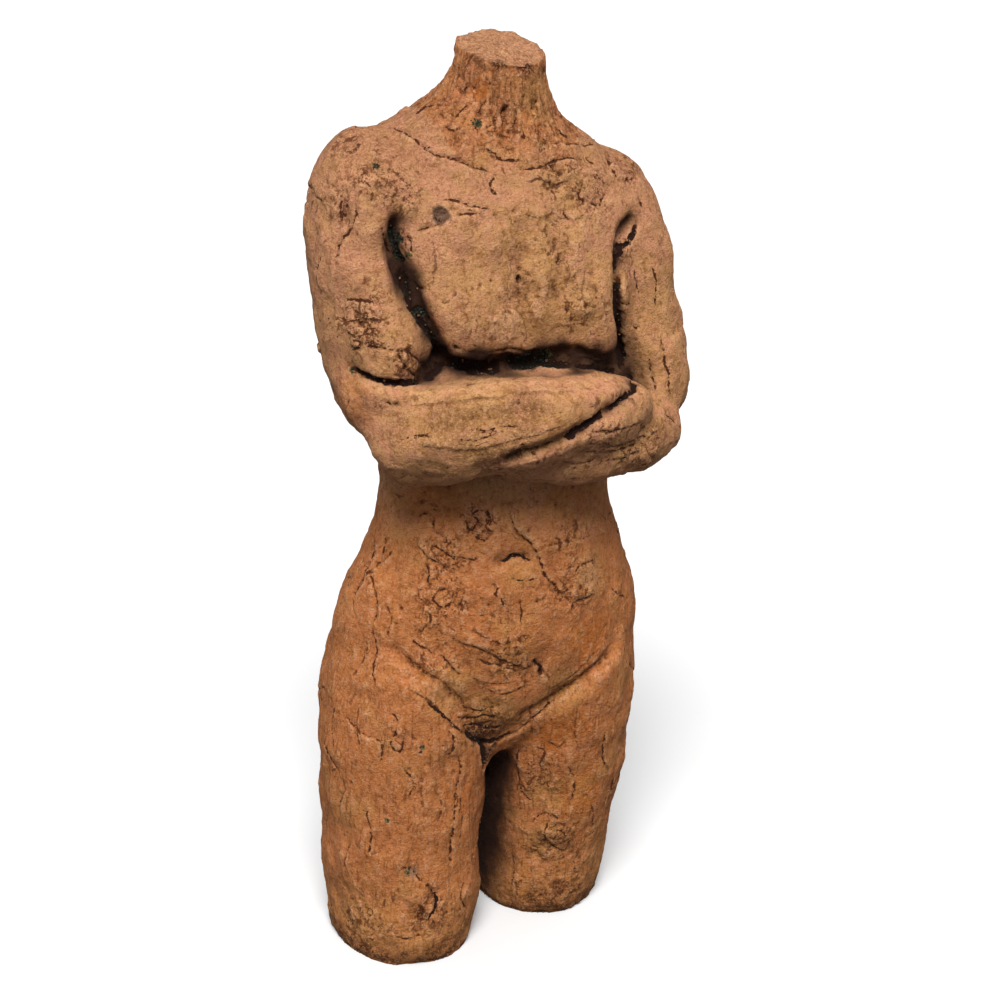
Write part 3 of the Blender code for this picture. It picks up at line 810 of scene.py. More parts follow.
@dataclass(frozen=True)
class Belly:
    """The waist and belly: curling scales of clay, the navel slit and the groin folds."""

    strokes: tuple[Stroke, ...] = (
        crack("499,561 507,559 513,556 522,557 533,561", 2.8, 3.0, -1.2, 8.0, 1.0),
        fold("497,566 515,564 533,567", 5.0, 1.2),
        crack("512,508 511,520 517,531 527,540 535,550 542,565 547,577 557,587 567,598", 1.5, 2.4, 1.8, 15.0),
        crack("567,597 572,605 571,617", 1.3),
        crack("570,602 580,600 590,596 594,590", 1.8, 2.6, 1.6, 10.0),
        crack("552,590 561,593 570,590", 1.0),
        ledge("545,547 560,543 575,541 592,534", -1.0, 9.0, 0.45),
        ledge("556,571 575,567 590,562 602,554", -1.0, 9.0, 0.4),
        crack("465,520 470,530 477,538 486,540 492,534", 1.1, 2.2, 1.4, 7.0),
        crack("472,515 478,522 474,531 482,537", 1.0),
        crack("470,514 480,511 489,514 492,522", 1.0, 2.2, -1.0, 6.0),
        crack("485,512 490,520 487,529 495,533", 1.0),
        crack("417,517 425,514 433,518 434,530", 1.2, 2.4, -0.8, 6.0),
        crack("412,540 420,549 430,558 443,566 458,571", 1.3, 2.4, 1.5, 12.0),
        crack("425,562 430,572 428,582 437,590 449,588", 1.2, 2.2, 1.1, 7.0),
        crack("437,590 434,600 441,607 450,604 454,596", 1.1, 2.2, 0.9, 6.0),
        crack("430,545 440,548 450,556 465,558 478,562", 0.9, 2.0, 1.1, 8.0),
        crack("436,532 445,535 447,543 456,546", 0.9, 2.0, 0.8),
        crack("500,585 495,594 503,601 499,610", 0.9, 2.0, 0.7),
        crack("520,600 522,612 520,626", 0.9),
        crack("511,578 524,581 538,578", 0.7, 2.0, 0.7),
        crack("420,632 427,626 431,619 428,612", 1.1, 2.2, 0.7),
        crack("410,636 416,644 426,648 433,655", 0.9, 2.0, 1.0),
        crack("450,638 462,643 475,647 488,653 503,661 520,666 535,667", 1.2, 2.4, 1.8, 13.0),
        crack("468,630 480,634 490,640 505,644", 0.8, 2.0, 1.0, 8.0, 0.5),
        crack("534,659 540,667 541,677", 2.4, 2.8, 0.0, 8.0, 1.0),
        crack("477,660 490,664 505,667 520,672", 1.0, 2.2, -0.8),
        crack("440,655 450,664 457,672 464,678", 1.1, 2.2, 1.3, 9.0),
        crack("470,676 482,682 497,684 512,681", 0.9, 2.0, 1.0, 8.0, 0.5),
        crack("372,532 375,550 368,568 357,590 356,605 361,630", 1.2, 2.2, 1.2, 9.0),
        crack("375,587 377,610 372,630 376,650 373,672 377,690", 1.4, 2.2, 1.1, 9.0),
        crack("385,536 384,550 378,566", 0.9),
        ledge("362,632 366,650 352,680", 0.9, 7.0),
        crack("345,575 352,580 349,592", 0.9),
        crack("385,600 391,620 387,640", 0.8, 2.0, 0.8, 7.0, 0.5),
        fold("386,640 405,660 425,674 450,690 466,708 474,728", 8.0, 2.4),
        ledge("400,652 420,668 445,684 462,700 472,722", 0.8, 9.0, 0.5),
        crack("425,700 437,710 450,722 464,736", 1.2, 2.4, 1.4, 8.0, 0.9),
        crack("408,690 422,696 436,703", 0.8, 2.0, 1.0, 7.0, 0.5),
        fold("622,640 600,662 572,684 545,700 520,716 505,728", 8.0, 2.4),
        ledge("512,722 535,706 560,692 585,674 605,655", 0.8, 9.0, 0.5),
        crack("503,740 520,727 537,713 558,698", 1.2, 2.4, 1.3, 8.0, 0.8),
        crack("548,690 566,680 584,664 600,648", 0.8, 2.0, 1.0, 7.0, 0.5),
        crease("462,730 474,738 488,742 502,738 512,729", 3.6, 3.4, 0.0, 1.0),
        crease("483,738 485,748 486,760 485,775", 4.5, 5.0),
        crack("455,716 470,719 484,716 500,718", 1.4, 2.4, 0.8, 5.0, 0.9),
        crack("460,726 475,724 490,728 505,722", 1.4, 2.4, 0.8, 5.0, 0.9),
        crack("466,709 480,711 495,708", 1.0, 2.0, 0.8, 5.0),
        crack("487,690 500,694 515,690 530,682", 1.0, 2.2, 1.0, 8.0),
        crack("618,500 612,512 606,520", 0.9),
        crack("573,572 578,566 586,562 596,561", 0.9, 2.0, 0.8),
        crack("617,530 625,543 630,556 634,572", 1.6, 2.6, 1.4, 8.0, 0.9),
        crack("612,588 618,594 626,597", 0.9),
        fold("400,560 395,590 402,620", 9.0, 1.4),
    )
    patches: tuple[Patch, ...] = (
        *spots(Stain.ORANGE, (480, 640, 46, 0.8), (590, 640, 36, 1.0), (430, 505, 40, 0.7), (570, 500, 40, 0.6),
               (500, 530, 30, 0.5)),
        *spots(Stain.PINK, (480, 580, 26, 0.5), (350, 620, 34, 0.5)),
        *spots(Stain.OCHRE, (590, 575, 24, 0.7), (520, 575, 18, 0.6), (490, 718, 30, 0.9), (450, 690, 24, 0.8),
               (560, 690, 26, 0.8), (510, 660, 20, 0.5)),
        *spots(Stain.PALE, (590, 578, 14, 0.6)),
        *spots(Stain.SCALES, (478, 525, 18, 1.0), (445, 555, 24, 1.0), (440, 595, 26, 1.0), (425, 625, 18, 0.8),
               (570, 545, 26, 0.7), (575, 595, 20, 0.9), (510, 655, 26, 0.9), (487, 722, 26, 1.0),
               (440, 650, 26, 0.8), (500, 620, 24, 0.5)),
        # The spots at the groin's V and the top of the gap between the thighs (480, 728 to 488, 757) are painted
        # shade.
        *spots(Stain.DIRT_AND_SHADE, (476, 522, 9, 0.6), (578, 598, 9, 0.8), (515, 658, 14, 0.6), (470, 655, 14, 0.45),
               (480, 728, 18, 1.0), (500, 722, 13, 0.8), (541, 672, 6, 0.9), (492, 747, 8, 1.0),
               (500, 752, 8, 0.9), (488, 757, 8, 1.0), (464, 606, 6, 0.7), (575, 660, 16, 0.4),
               (545, 690, 15, 0.4), (435, 690, 15, 0.4), (375, 545, 12, 0.5), (378, 510, 9, 0.6),
               (628, 560, 8, 0.7)),
        *spots(Stain.MOSS, (484, 742, 3, 0.4)),
    )
    pits: tuple[Pit, ...] = (
        (400, 609, 2.4), (460, 606, 2.4), (465, 602, 1.8), (475, 604, 1.8), (489, 605, 2.2), (493, 617, 2.0),
        (473, 621, 1.6), (505, 603, 1.6), (541, 672, 2.8), (446, 668, 1.6), (420, 633, 1.8), (354, 577, 1.8),
        (577, 574, 1.6), (614, 595, 1.6), (449, 510, 1.6), (425, 492, 1.4), (508, 612, 1.6), (481, 598, 1.4),
        (455, 612, 1.6), (484, 611, 1.4), (432, 604, 1.4),
    )


@dataclass(frozen=True)
class Legs:
    """The two thighs, cut off level: upright streaks and cracks, dirt and moss towards their ends."""

    streak_depth: float = 0.4 * MM
    streak_width: float = 6.0 * MM
    streak_top: float = 0.33
    dirt_height: float = 0.055
    round_height: float = 7 * MM
    round_depth: float = 1.6 * MM
    strokes: tuple[Stroke, ...] = (
        crack("457,752 461,770 456,795 454,820 451,842 451,876", 1.6, 2.4, 1.4, 9.0),
        crack("460,796 462,818 459,840", 1.0),
        crack("447,728 453,738 452,750 446,757", 0.9, 2.0, 1.0, 7.0),
        crack("385,712 395,717 397,730 391,745 400,752 405,735", 1.0, 2.2, 0.9, 7.0),
        crack("344,781 345,792 340,803 340,818", 1.3, 2.4, 0.8, 7.0),
        crack("369,804 367,820 371,832 369,850 366,862", 1.4, 2.4, 1.0, 8.0),
        crack("464,882 461,897 467,911", 1.3, 2.4),
        crack("320,690 324,720 322,745", 0.8, 2.0, 0.7),
        crack("335,705 332,730 336,752", 0.8, 2.0, 0.7, 8.0, 0.5),
        crack("404,770 410,775 414,785 407,800", 1.0, 2.2, 0.8, 6.0),
        crack("436,790 441,805 438,825", 0.8, 2.0, 0.8, 8.0, 0.5),
        crack("350,840 347,862 351,880", 0.8, 2.0, 0.6, 8.0, 0.5),
        crack("360,700 357,725 361,755", 0.7, 2.0, 0.8, 9.0, 0.45),
        crack("425,760 421,790 426,815", 0.7, 2.0, 0.8, 9.0, 0.4),
        crack("398,872 410,868 420,880 436,890", 1.0, 2.2, -1.0, 7.0),
        crack("423,884 432,890 437,900 433,913 425,922", 2.4, 3.0, 1.2, 7.0, 1.0),
        crack("418,905 424,912 420,922", 1.4, 2.6),
        crack("395,935 408,938 423,934", 0.9, 2.0, 0.8),
        crack("360,905 372,912 368,925 378,932", 0.9, 2.0, 0.8, 7.0, 0.5),
        crack("520,745 517,765 519,785 527,800 535,801", 1.1, 2.2, 1.2, 9.0),
        crack("535,745 545,752 540,765 551,772", 0.9, 2.0, 1.0, 6.0),
        crack("548,742 558,748 566,742", 0.8, 2.0, 0.9, 6.0),
        crack("566,765 574,778 573,795 567,806", 1.1, 2.2, -1.1, 8.0),
        crack("549,818 545,832 553,845 565,850 575,843", 1.2, 2.4, 1.0, 7.0),
        crack("533,822 540,815 552,813 560,820", 0.9, 2.0, 1.0, 6.0),
        crack("556,828 564,832 562,840", 0.9, 2.2),
        crack("604,730 603,750 606,770", 0.9, 2.0, 0.8),
        crack("533,700 530,720 535,738", 0.8, 2.0, 0.8, 8.0, 0.5),
        crack("590,800 592,820 588,838", 0.8, 2.0, 0.7, 7.0, 0.5),
        crack("512,850 514,870 511,888", 0.8, 2.0, 0.6, 7.0, 0.5),
        crack("578,705 575,730 579,752", 0.7, 2.0, 0.8, 8.0, 0.4),
    )
    patches: tuple[Patch, ...] = (
        *spots(Stain.ORANGE, (560, 730, 40, 1.0), (580, 790, 36, 1.0), (380, 700, 36, 0.6), (462, 800, 26, 0.9)),
        *spots(Stain.PINK, (390, 830, 40, 0.5), (370, 760, 34, 0.4)),
        *spots(Stain.OCHRE, (548, 795, 20, 0.8), (545, 840, 24, 0.9), (360, 920, 34, 0.8), (420, 945, 30, 0.6),
               (595, 850, 22, 0.8)),
        *spots(Stain.SCALES, (540, 775, 28, 0.9), (555, 840, 28, 1.0), (360, 925, 34, 0.9), (430, 915, 24, 0.9),
               (560, 890, 34, 0.9), (400, 740, 18, 0.6)),
        # The spot between the thighs (497, 770) is painted shade in the gap.
        *spots(Stain.DIRT_AND_SHADE, (430, 895, 7, 0.8), (420, 914, 9, 0.95), (435, 925, 7, 0.8), (408, 903, 6, 0.6),
               (446, 940, 8, 0.8), (340, 932, 8, 0.8), (346, 783, 4, 0.8), (390, 790, 13, 0.4),
               (562, 788, 12, 0.6), (550, 800, 12, 0.4), (566, 842, 11, 0.7), (545, 835, 11, 0.5),
               (558, 886, 11, 0.8), (600, 870, 10, 0.7), (540, 900, 12, 0.7), (497, 770, 16, 0.7)),
        *spots(Stain.MOSS, (422, 748, 4, 0.8), (387, 820, 3.5, 0.85), (408, 872, 6, 0.65), (402, 890, 2.5, 0.5),
               (590, 872, 6, 0.45), (355, 950, 5, 0.45)),
        *spots(Stain.GREY, (412, 871, 6, 0.7)),
    )
    pits: tuple[Pit, ...] = (
        (343, 780, 2.0), (351, 783, 2.2), (409, 770, 2.4), (341, 793, 1.4), (509, 822, 2.0), (522, 716, 1.4),
        (480, 786, 1.8), (475, 810, 1.4), (585, 795, 1.6), (427, 905, 2.4), (418, 918, 2.6), (434, 897, 2.0),
        (560, 884, 2.4), (338, 770, 1.4), (393, 803, 1.4), (442, 745, 1.4), (574, 868, 2.0), (541, 896, 2.2),
    )

    def work(self, skin: Skin) -> None:
        """Streaks the thighs, rounds their lower edges and dirties their ends."""
        points, normals = skin.points, skin.normals
        everywhere = np.arange(len(points))
        leg = step(points[:, 2], self.streak_top, self.streak_top - 90 * MM)
        streaks = waves(points * (1, 1, 0.2), self.streak_width, 61, 3)
        skin.relief += leg * streaks * self.streak_depth
        skin.stain(everywhere, Stain.STREAKS, leg * 0.7)
        wall = np.abs(normals[:, 2]) < LEVEL
        edge = step(points[:, 2], self.round_height, 0.0) ** 2
        skin.relief -= wall * edge * self.round_depth * (1.2 + waves(points, 12 * MM, 67, 2))
        grime = waves(points, 11 * MM, 71, 3) * 0.5 + step(points[:, 2], self.dirt_height, 0.0)
        skin.stain(everywhere, Stain.DIRT_AND_SHADE, step(grime, 0.45, 1.1) * 0.9)
        skin.stain(everywhere, Stain.OCHRE, step(points[:, 2], 0.09, 0.01) * 0.6)


@dataclass(frozen=True)
class HiddenSides:
    """The back and the flanks, which the photograph doesn't show: the same clay, plainer."""

    cracks: int = 60
    seed: int = 20
    height_range: tuple[float, float] = (0.03, 0.68)
    length_range: tuple[float, float] = (0.02, 0.075)
    cleft: tuple[tuple[float, float], ...] = (
        (0.001, 0.306), (0.001, 0.285), (0.002, 0.26), (0.002, 0.235), (0.001, 0.21), (0.0, 0.188),
    )

    def strokes(self) -> list[Stroke]:
        """Wandering cracks and layer edges over the back and both flanks, and the seat's cleft."""
        rng = np.random.default_rng(self.seed)
        found = []
        for k in range(self.cracks):
            seen = (Seen.BACK, Seen.BACK, Seen.RIGHT, Seen.LEFT)[k % 4]
            spread = 0.12 if seen is Seen.BACK else 0.06
            across = rng.uniform(-spread, spread) + (0.0 if seen is Seen.BACK else 0.035)
            place = np.array([across, rng.uniform(*self.height_range)])
            length = rng.uniform(*self.length_range)
            heading = math.pi / 2 + rng.normal(0, 0.5) + (math.pi / 2 if rng.random() < 0.25 else 0)
            path = [tuple(place)]
            for _ in range(5):
                heading += rng.normal(0, 0.35)
                place = place + np.array([math.cos(heading), math.sin(heading)]) * length / 5
                path.append(tuple(place))
            lift = rng.choice((-1.3, 1.3, 0.8)) * MM
            found.append(Stroke(Cut.CRACK, tuple(path), 2.2 * MM, 1.1 * MM, lift, 9 * MM, 0.65, seen=seen))
        found.append(Stroke(Cut.CREASE, self.cleft, 4.6 * MM, 3.0 * MM, dark=0.9, seen=Seen.BACK))
        return found


@dataclass(frozen=True)
class Layer:
    """Clay laid in ragged layers: a swell of one size that breaks into steps where the clay is flaky."""

    name: str
    size: float
    upright: float
    levels: float
    height: float
    riser: float
    seed: int

    def lay(self, skin: Skin, flaky: np.ndarray, amount: np.ndarray | float = 1.0) -> None:
        """Adds the layer to the relief, and notes how far each point is from the foot of a step.

        Args:
            skin: The skin to work.
            flaky: How far the swell breaks into steps, from 0 to 1.
            amount: How much of the layer's height to add.
        """
        points = skin.points * (1, 1, 1 / self.upright)
        warp = np.stack([waves(points, self.size * 0.6, self.seed + axis, 2) for axis in (1, 2, 3)], axis=1)
        level = waves(points + warp * self.size * 0.4, self.size, self.seed, 4) * self.levels
        slope = skin.slope(level) + 1.0
        share = level - np.floor(level)
        stepped = np.floor(level) + step(share, 0, np.clip(self.riser * slope, 0.05, 0.9))
        skin.relief += self.height / self.levels * amount * (level * (1 - flaky) + stepped * flaky)
        skin.lines[self.name + "_gap"] = np.sin(2 * math.pi * level) / (2 * math.pi * slope) / MM
        skin.lines[self.name + "_dark"] = np.cos(2 * math.pi * level) * flaky


@dataclass(frozen=True)
class HandLaidClay:
    """What the maker's hands left everywhere: broad dabs, ragged layers, pits and grain."""

    dabs: tuple[tuple[float, float, float], ...] = (
        (48 * MM, 1.9 * MM, 1.0), (21 * MM, 0.7 * MM, 0.5),
        (9 * MM, 0.22 * MM, 0.7), (4.4 * MM, 0.12 * MM, 1.0),
    )
    slabs: Layer = Layer("slab", 36 * MM, 1.5, 2.4, 1.8 * MM, 1.5 * MM, 90)
    flakes: Layer = Layer("flake", 13 * MM, 1.2, 1.8, 1.1 * MM, 1.3 * MM, 110)
    scales: Layer = Layer("scale", 6.5 * MM, 1.0, 1.3, 0.85 * MM, 1.2 * MM, 130)
    pits: int = 230
    seed: int = 5

    def press(self, skin: Skin) -> None:
        """Presses broad thumb dabs, and finer unevenness, into the whole skin."""
        for k, (size, height, upright) in enumerate(self.dabs):
            skin.relief += waves(skin.points * (1, 1, upright), size, 3 + 4 * k, 2) * height

    def lay(self, skin: Skin) -> None:
        """Lays ragged layers of clay over each other, more where the skin is scaly."""
        points = skin.points
        loose = step(waves(points, 24 * MM, 11, 2), -0.25, 0.45)
        wild = step(waves(points, 34 * MM, 12, 2), 0.1, 0.8) * 0.4
        scaly = np.clip(np.maximum(skin.stains[Stain.SCALES], wild), 0, 1)
        skin.stains[Stain.SCALES] = scaly
        self.slabs.lay(skin, np.clip(loose * 0.5 + scaly * 0.4, 0, 1))
        self.flakes.lay(skin, np.clip(scaly * 0.85, 0, 1), 0.25 + 0.75 * scaly)
        self.scales.lay(skin, scaly * 0.9, 0.05 + 0.95 * scaly)

    def prick(self, skin: Skin) -> None:
        """Scatters small pits, in groups, over the whole skin."""
        rng = np.random.default_rng(self.seed)
        groups = waves(skin.points, 30 * MM, 13, 2)
        chance = step(groups, -0.1, 0.8) + 0.08
        chosen = rng.choice(len(skin.points), self.pits, replace=False, p=chance / chance.sum())
        for index in chosen:
            radius = rng.uniform(1.3, 2.7) * MM
            skin.pit(Vector(skin.points[index]), radius, radius * rng.uniform(0.4, 0.9))

    def settle_dirt_and_shade(self, skin: Skin) -> None:
        """Darkens the hollows with dirt and painted shade, and rubs the high edges pale."""
        everywhere = np.arange(len(skin.points))
        level = skin.smoothed(skin.relief, 12)
        # Hollows small and wide: dirt and painted shade.
        hollow = step(level - skin.relief, 0.12 * MM, 0.7 * MM)
        wide = step(skin.smoothed(level, 60) - level, 0.2 * MM, 1.2 * MM)
        skin.stain(everywhere, Stain.DIRT_AND_SHADE, np.clip(hollow * 0.6 + wide * 0.4, 0, 1))
        proud = step(skin.relief - level, 0.10 * MM, 0.5 * MM)
        skin.stain(everywhere, Stain.PALE, proud * 0.7)


@dataclass(frozen=True)
class Tones:
    """The clay's broad colour changes, which go on round the hidden sides."""

    warm_top: float = 0.44
    warm_fade: float = 0.10

    def lay(self, skin: Skin) -> None:
        """Warms the clay below the waist, and drifts pink and ochre over all of it."""
        points = skin.points
        everywhere = np.arange(len(points))
        drift = waves(points, 60 * MM, 17, 3)
        low = step(points[:, 2] + drift * 30 * MM, self.warm_top, self.warm_top - self.warm_fade)
        skin.stain(everywhere, Stain.ORANGE, low * 0.75)
        skin.stain(everywhere, Stain.PINK, step(waves(points, 45 * MM, 19, 3), 0.05, 0.8) * 0.5)
        skin.stain(everywhere, Stain.OCHRE, step(waves(points, 40 * MM, 23, 3), 0.15, 0.85) * 0.6)
        skin.stain(everywhere, Stain.STREAKS, np.full(len(points), 0.25))


@dataclass(frozen=True)
class Tuft:
    """Small loose matter that sits on the skin: cushions of moss or crumbs of clay."""

    name: str
    count: int
    smallest: float
    largest: float
    sink: float
    flatness: float
    seed: int

    def scatter(self, skin: Skin, chance: np.ndarray) -> bpy.types.Object:
        """Sets lumps on the skin where the chance is high.

        Args:
            skin: The worked skin.
            chance: How likely each of its points is to carry a lump.

        Returns:
            One object with all the lumps.
        """
        rng = np.random.default_rng(self.seed)
        shape = bmesh.new()
        bmesh.ops.create_icosphere(shape, subdivisions=1, radius=1.0)
        ball = np.array([vertex.co for vertex in shape.verts])
        faces = np.array([[vertex.index for vertex in face.verts] for face in shape.faces])
        shape.free()
        ground = skin.points + skin.normals * skin.relief[:, None]
        chance = chance * (skin.points[:, 2] > 4 * MM)
        chosen = rng.choice(len(ground), self.count, p=chance / chance.sum())
        lumps, joined = [], []
        for k, index in enumerate(chosen):
            size = self.smallest + (self.largest - self.smallest) * rng.random() ** 2
            up = Vector(skin.normals[index])
            turn = np.array(up.to_track_quat("Z", "Y").to_matrix())
            form = ball * (1 + rng.normal(0, 0.2, (len(ball), 1)))
            form = form * (rng.uniform(0.6, 1.4), rng.uniform(0.6, 1.4), self.flatness)
            centre = ground[index] + np.array(up) * size * (self.flatness - self.sink)
            centre = centre + rng.normal(0, 0.3 * MM, 3)
            lumps.append(form @ turn.T * size + centre)
            joined.append(faces + k * len(ball))
        mesh = bpy.data.meshes.new(self.name)
        mesh.from_pydata(np.concatenate(lumps).tolist(), [], np.concatenate(joined).tolist())
        mesh.shade_smooth()
        lump = bpy.data.objects.new(self.name, mesh)
        bpy.context.scene.collection.objects.link(lump)
        return lump


def tint(code: str) -> tuple[float, float, float, float]:
    """A screen colour such as "b08358" as the linear colour that a shader takes."""
    shares = [int(code[k:k + 2], 16) / 255 for k in (0, 2, 4)]
    linear = [s / 12.92 if s <= 0.04045 else ((s + 0.055) / 1.055) ** 2.4 for s in shares]
    return (*linear, 1.0)


class Sheet:
    """Adds and joins the nodes of one material."""

    def __init__(self, name: str) -> None:
        """Starts a material with its plain surface."""
        self.material = bpy.data.materials.new(name)
        self.material.use_nodes = True
        self.nodes = self.material.node_tree.nodes
        self.links = self.material.node_tree.links
        self.surface = self.nodes["Principled BSDF"]
        self.place = self.nodes.new("ShaderNodeTexCoord").outputs["Object"]

    def put(self, socket: bpy.types.NodeSocket, value: object) -> None:
        """Joins a socket to another, or sets it to a plain value."""
        if isinstance(value, bpy.types.NodeSocket):
            self.links.new(value, socket)
        else:
            socket.default_value = value

    def math(self, kind: str, first: object, second: object = 0.0) -> bpy.types.NodeSocket:
        """One sum, product or other operation, kept as it comes."""
        node = self.nodes.new("ShaderNodeMath")
        node.operation = kind
        self.put(node.inputs[0], first)
        self.put(node.inputs[1], second)
        return node.outputs[0]

    def times(self, *values: object) -> bpy.types.NodeSocket:
        """The product of several values."""
        total = values[0]
        for value in values[1:]:
            total = self.math("MULTIPLY", total, value)
        return total

    def noise(self, size: float, detail: float = 3.0, curl: float = 0.0, rough: float = 0.55,
              at: bpy.types.NodeSocket | None = None, output: str = "Fac") -> bpy.types.NodeSocket:
        """Noise with features of one size in metres, curled by the given amount."""
        node = self.nodes.new("ShaderNodeTexNoise")
        self.put(node.inputs["Vector"], at or self.place)
        node.inputs["Scale"].default_value = 1 / size
        node.inputs["Detail"].default_value = detail
        node.inputs["Roughness"].default_value = rough
        node.inputs["Distortion"].default_value = curl
        return node.outputs[output]

    def flakes(self, size: float, bend: float) -> bpy.types.NodeSocket:
        """How far a place is from the edge of its flake, where flakes of one size cover the surface."""
        shift = self.nodes.new("ShaderNodeVectorMath")
        shift.operation = "MULTIPLY_ADD"
        self.put(shift.inputs[0], self.noise(size * 0.8, 3.0, output="Color"))
        shift.inputs[1].default_value = (bend, bend, bend)
        self.put(shift.inputs[2], self.place)
        cells = self.nodes.new("ShaderNodeTexVoronoi")
        cells.feature = "DISTANCE_TO_EDGE"
        self.put(cells.inputs["Vector"], shift.outputs[0])
        cells.inputs["Scale"].default_value = 1 / size
        return cells.outputs["Distance"]

    def band(self, value: object, low: float, high: float, top: float = 1.0) -> bpy.types.NodeSocket:
        """A smooth step of a value from 0 at low to top at high. Low may be the higher number."""
        node = self.nodes.new("ShaderNodeMapRange")
        node.interpolation_type = "SMOOTHSTEP"
        start, end = (0.0, top) if low < high else (top, 0.0)
        self.put(node.inputs["Value"], value)
        node.inputs["From Min"].default_value = min(low, high)
        node.inputs["From Max"].default_value = max(low, high)
        node.inputs["To Min"].default_value = start
        node.inputs["To Max"].default_value = end
        return node.outputs["Result"]

    def read(self, name: str) -> bpy.types.NodeSocket:
        """A value that the mesh holds at its points."""
        node = self.nodes.new("ShaderNodeAttribute")
        node.attribute_name = name
        return node.outputs["Fac"]

    def mix(self, share: object, first: object, second: object) -> bpy.types.NodeSocket:
        """Two colours mixed by a share."""
        node = self.nodes.new("ShaderNodeMix")
        node.data_type = "RGBA"
        self.put(node.inputs[0], share)
        self.put(node.inputs[6], first)
        self.put(node.inputs[7], second)
        return node.outputs[2]

    def drawn_out(self, across: float, up: float) -> bpy.types.NodeSocket:
        """The surface's place, scaled so that noise of size 1 has these sizes across and upwards."""
        node = self.nodes.new("ShaderNodeVectorMath")
        node.operation = "MULTIPLY"
        self.put(node.inputs[0], self.place)
        node.inputs[1].default_value = (1 / across, 1 / across, 1 / up)
        return node.outputs[0]

    def bump(self, height: object, depth: float, before: object = None) -> bpy.types.NodeSocket:
        """A bump of the given depth in metres, on top of another if there is one."""
        node = self.nodes.new("ShaderNodeBump")
        node.inputs["Distance"].default_value = depth
        self.put(node.inputs["Height"], height)
        if before is not None:
            self.put(node.inputs["Normal"], before)
        return node.outputs["Normal"]


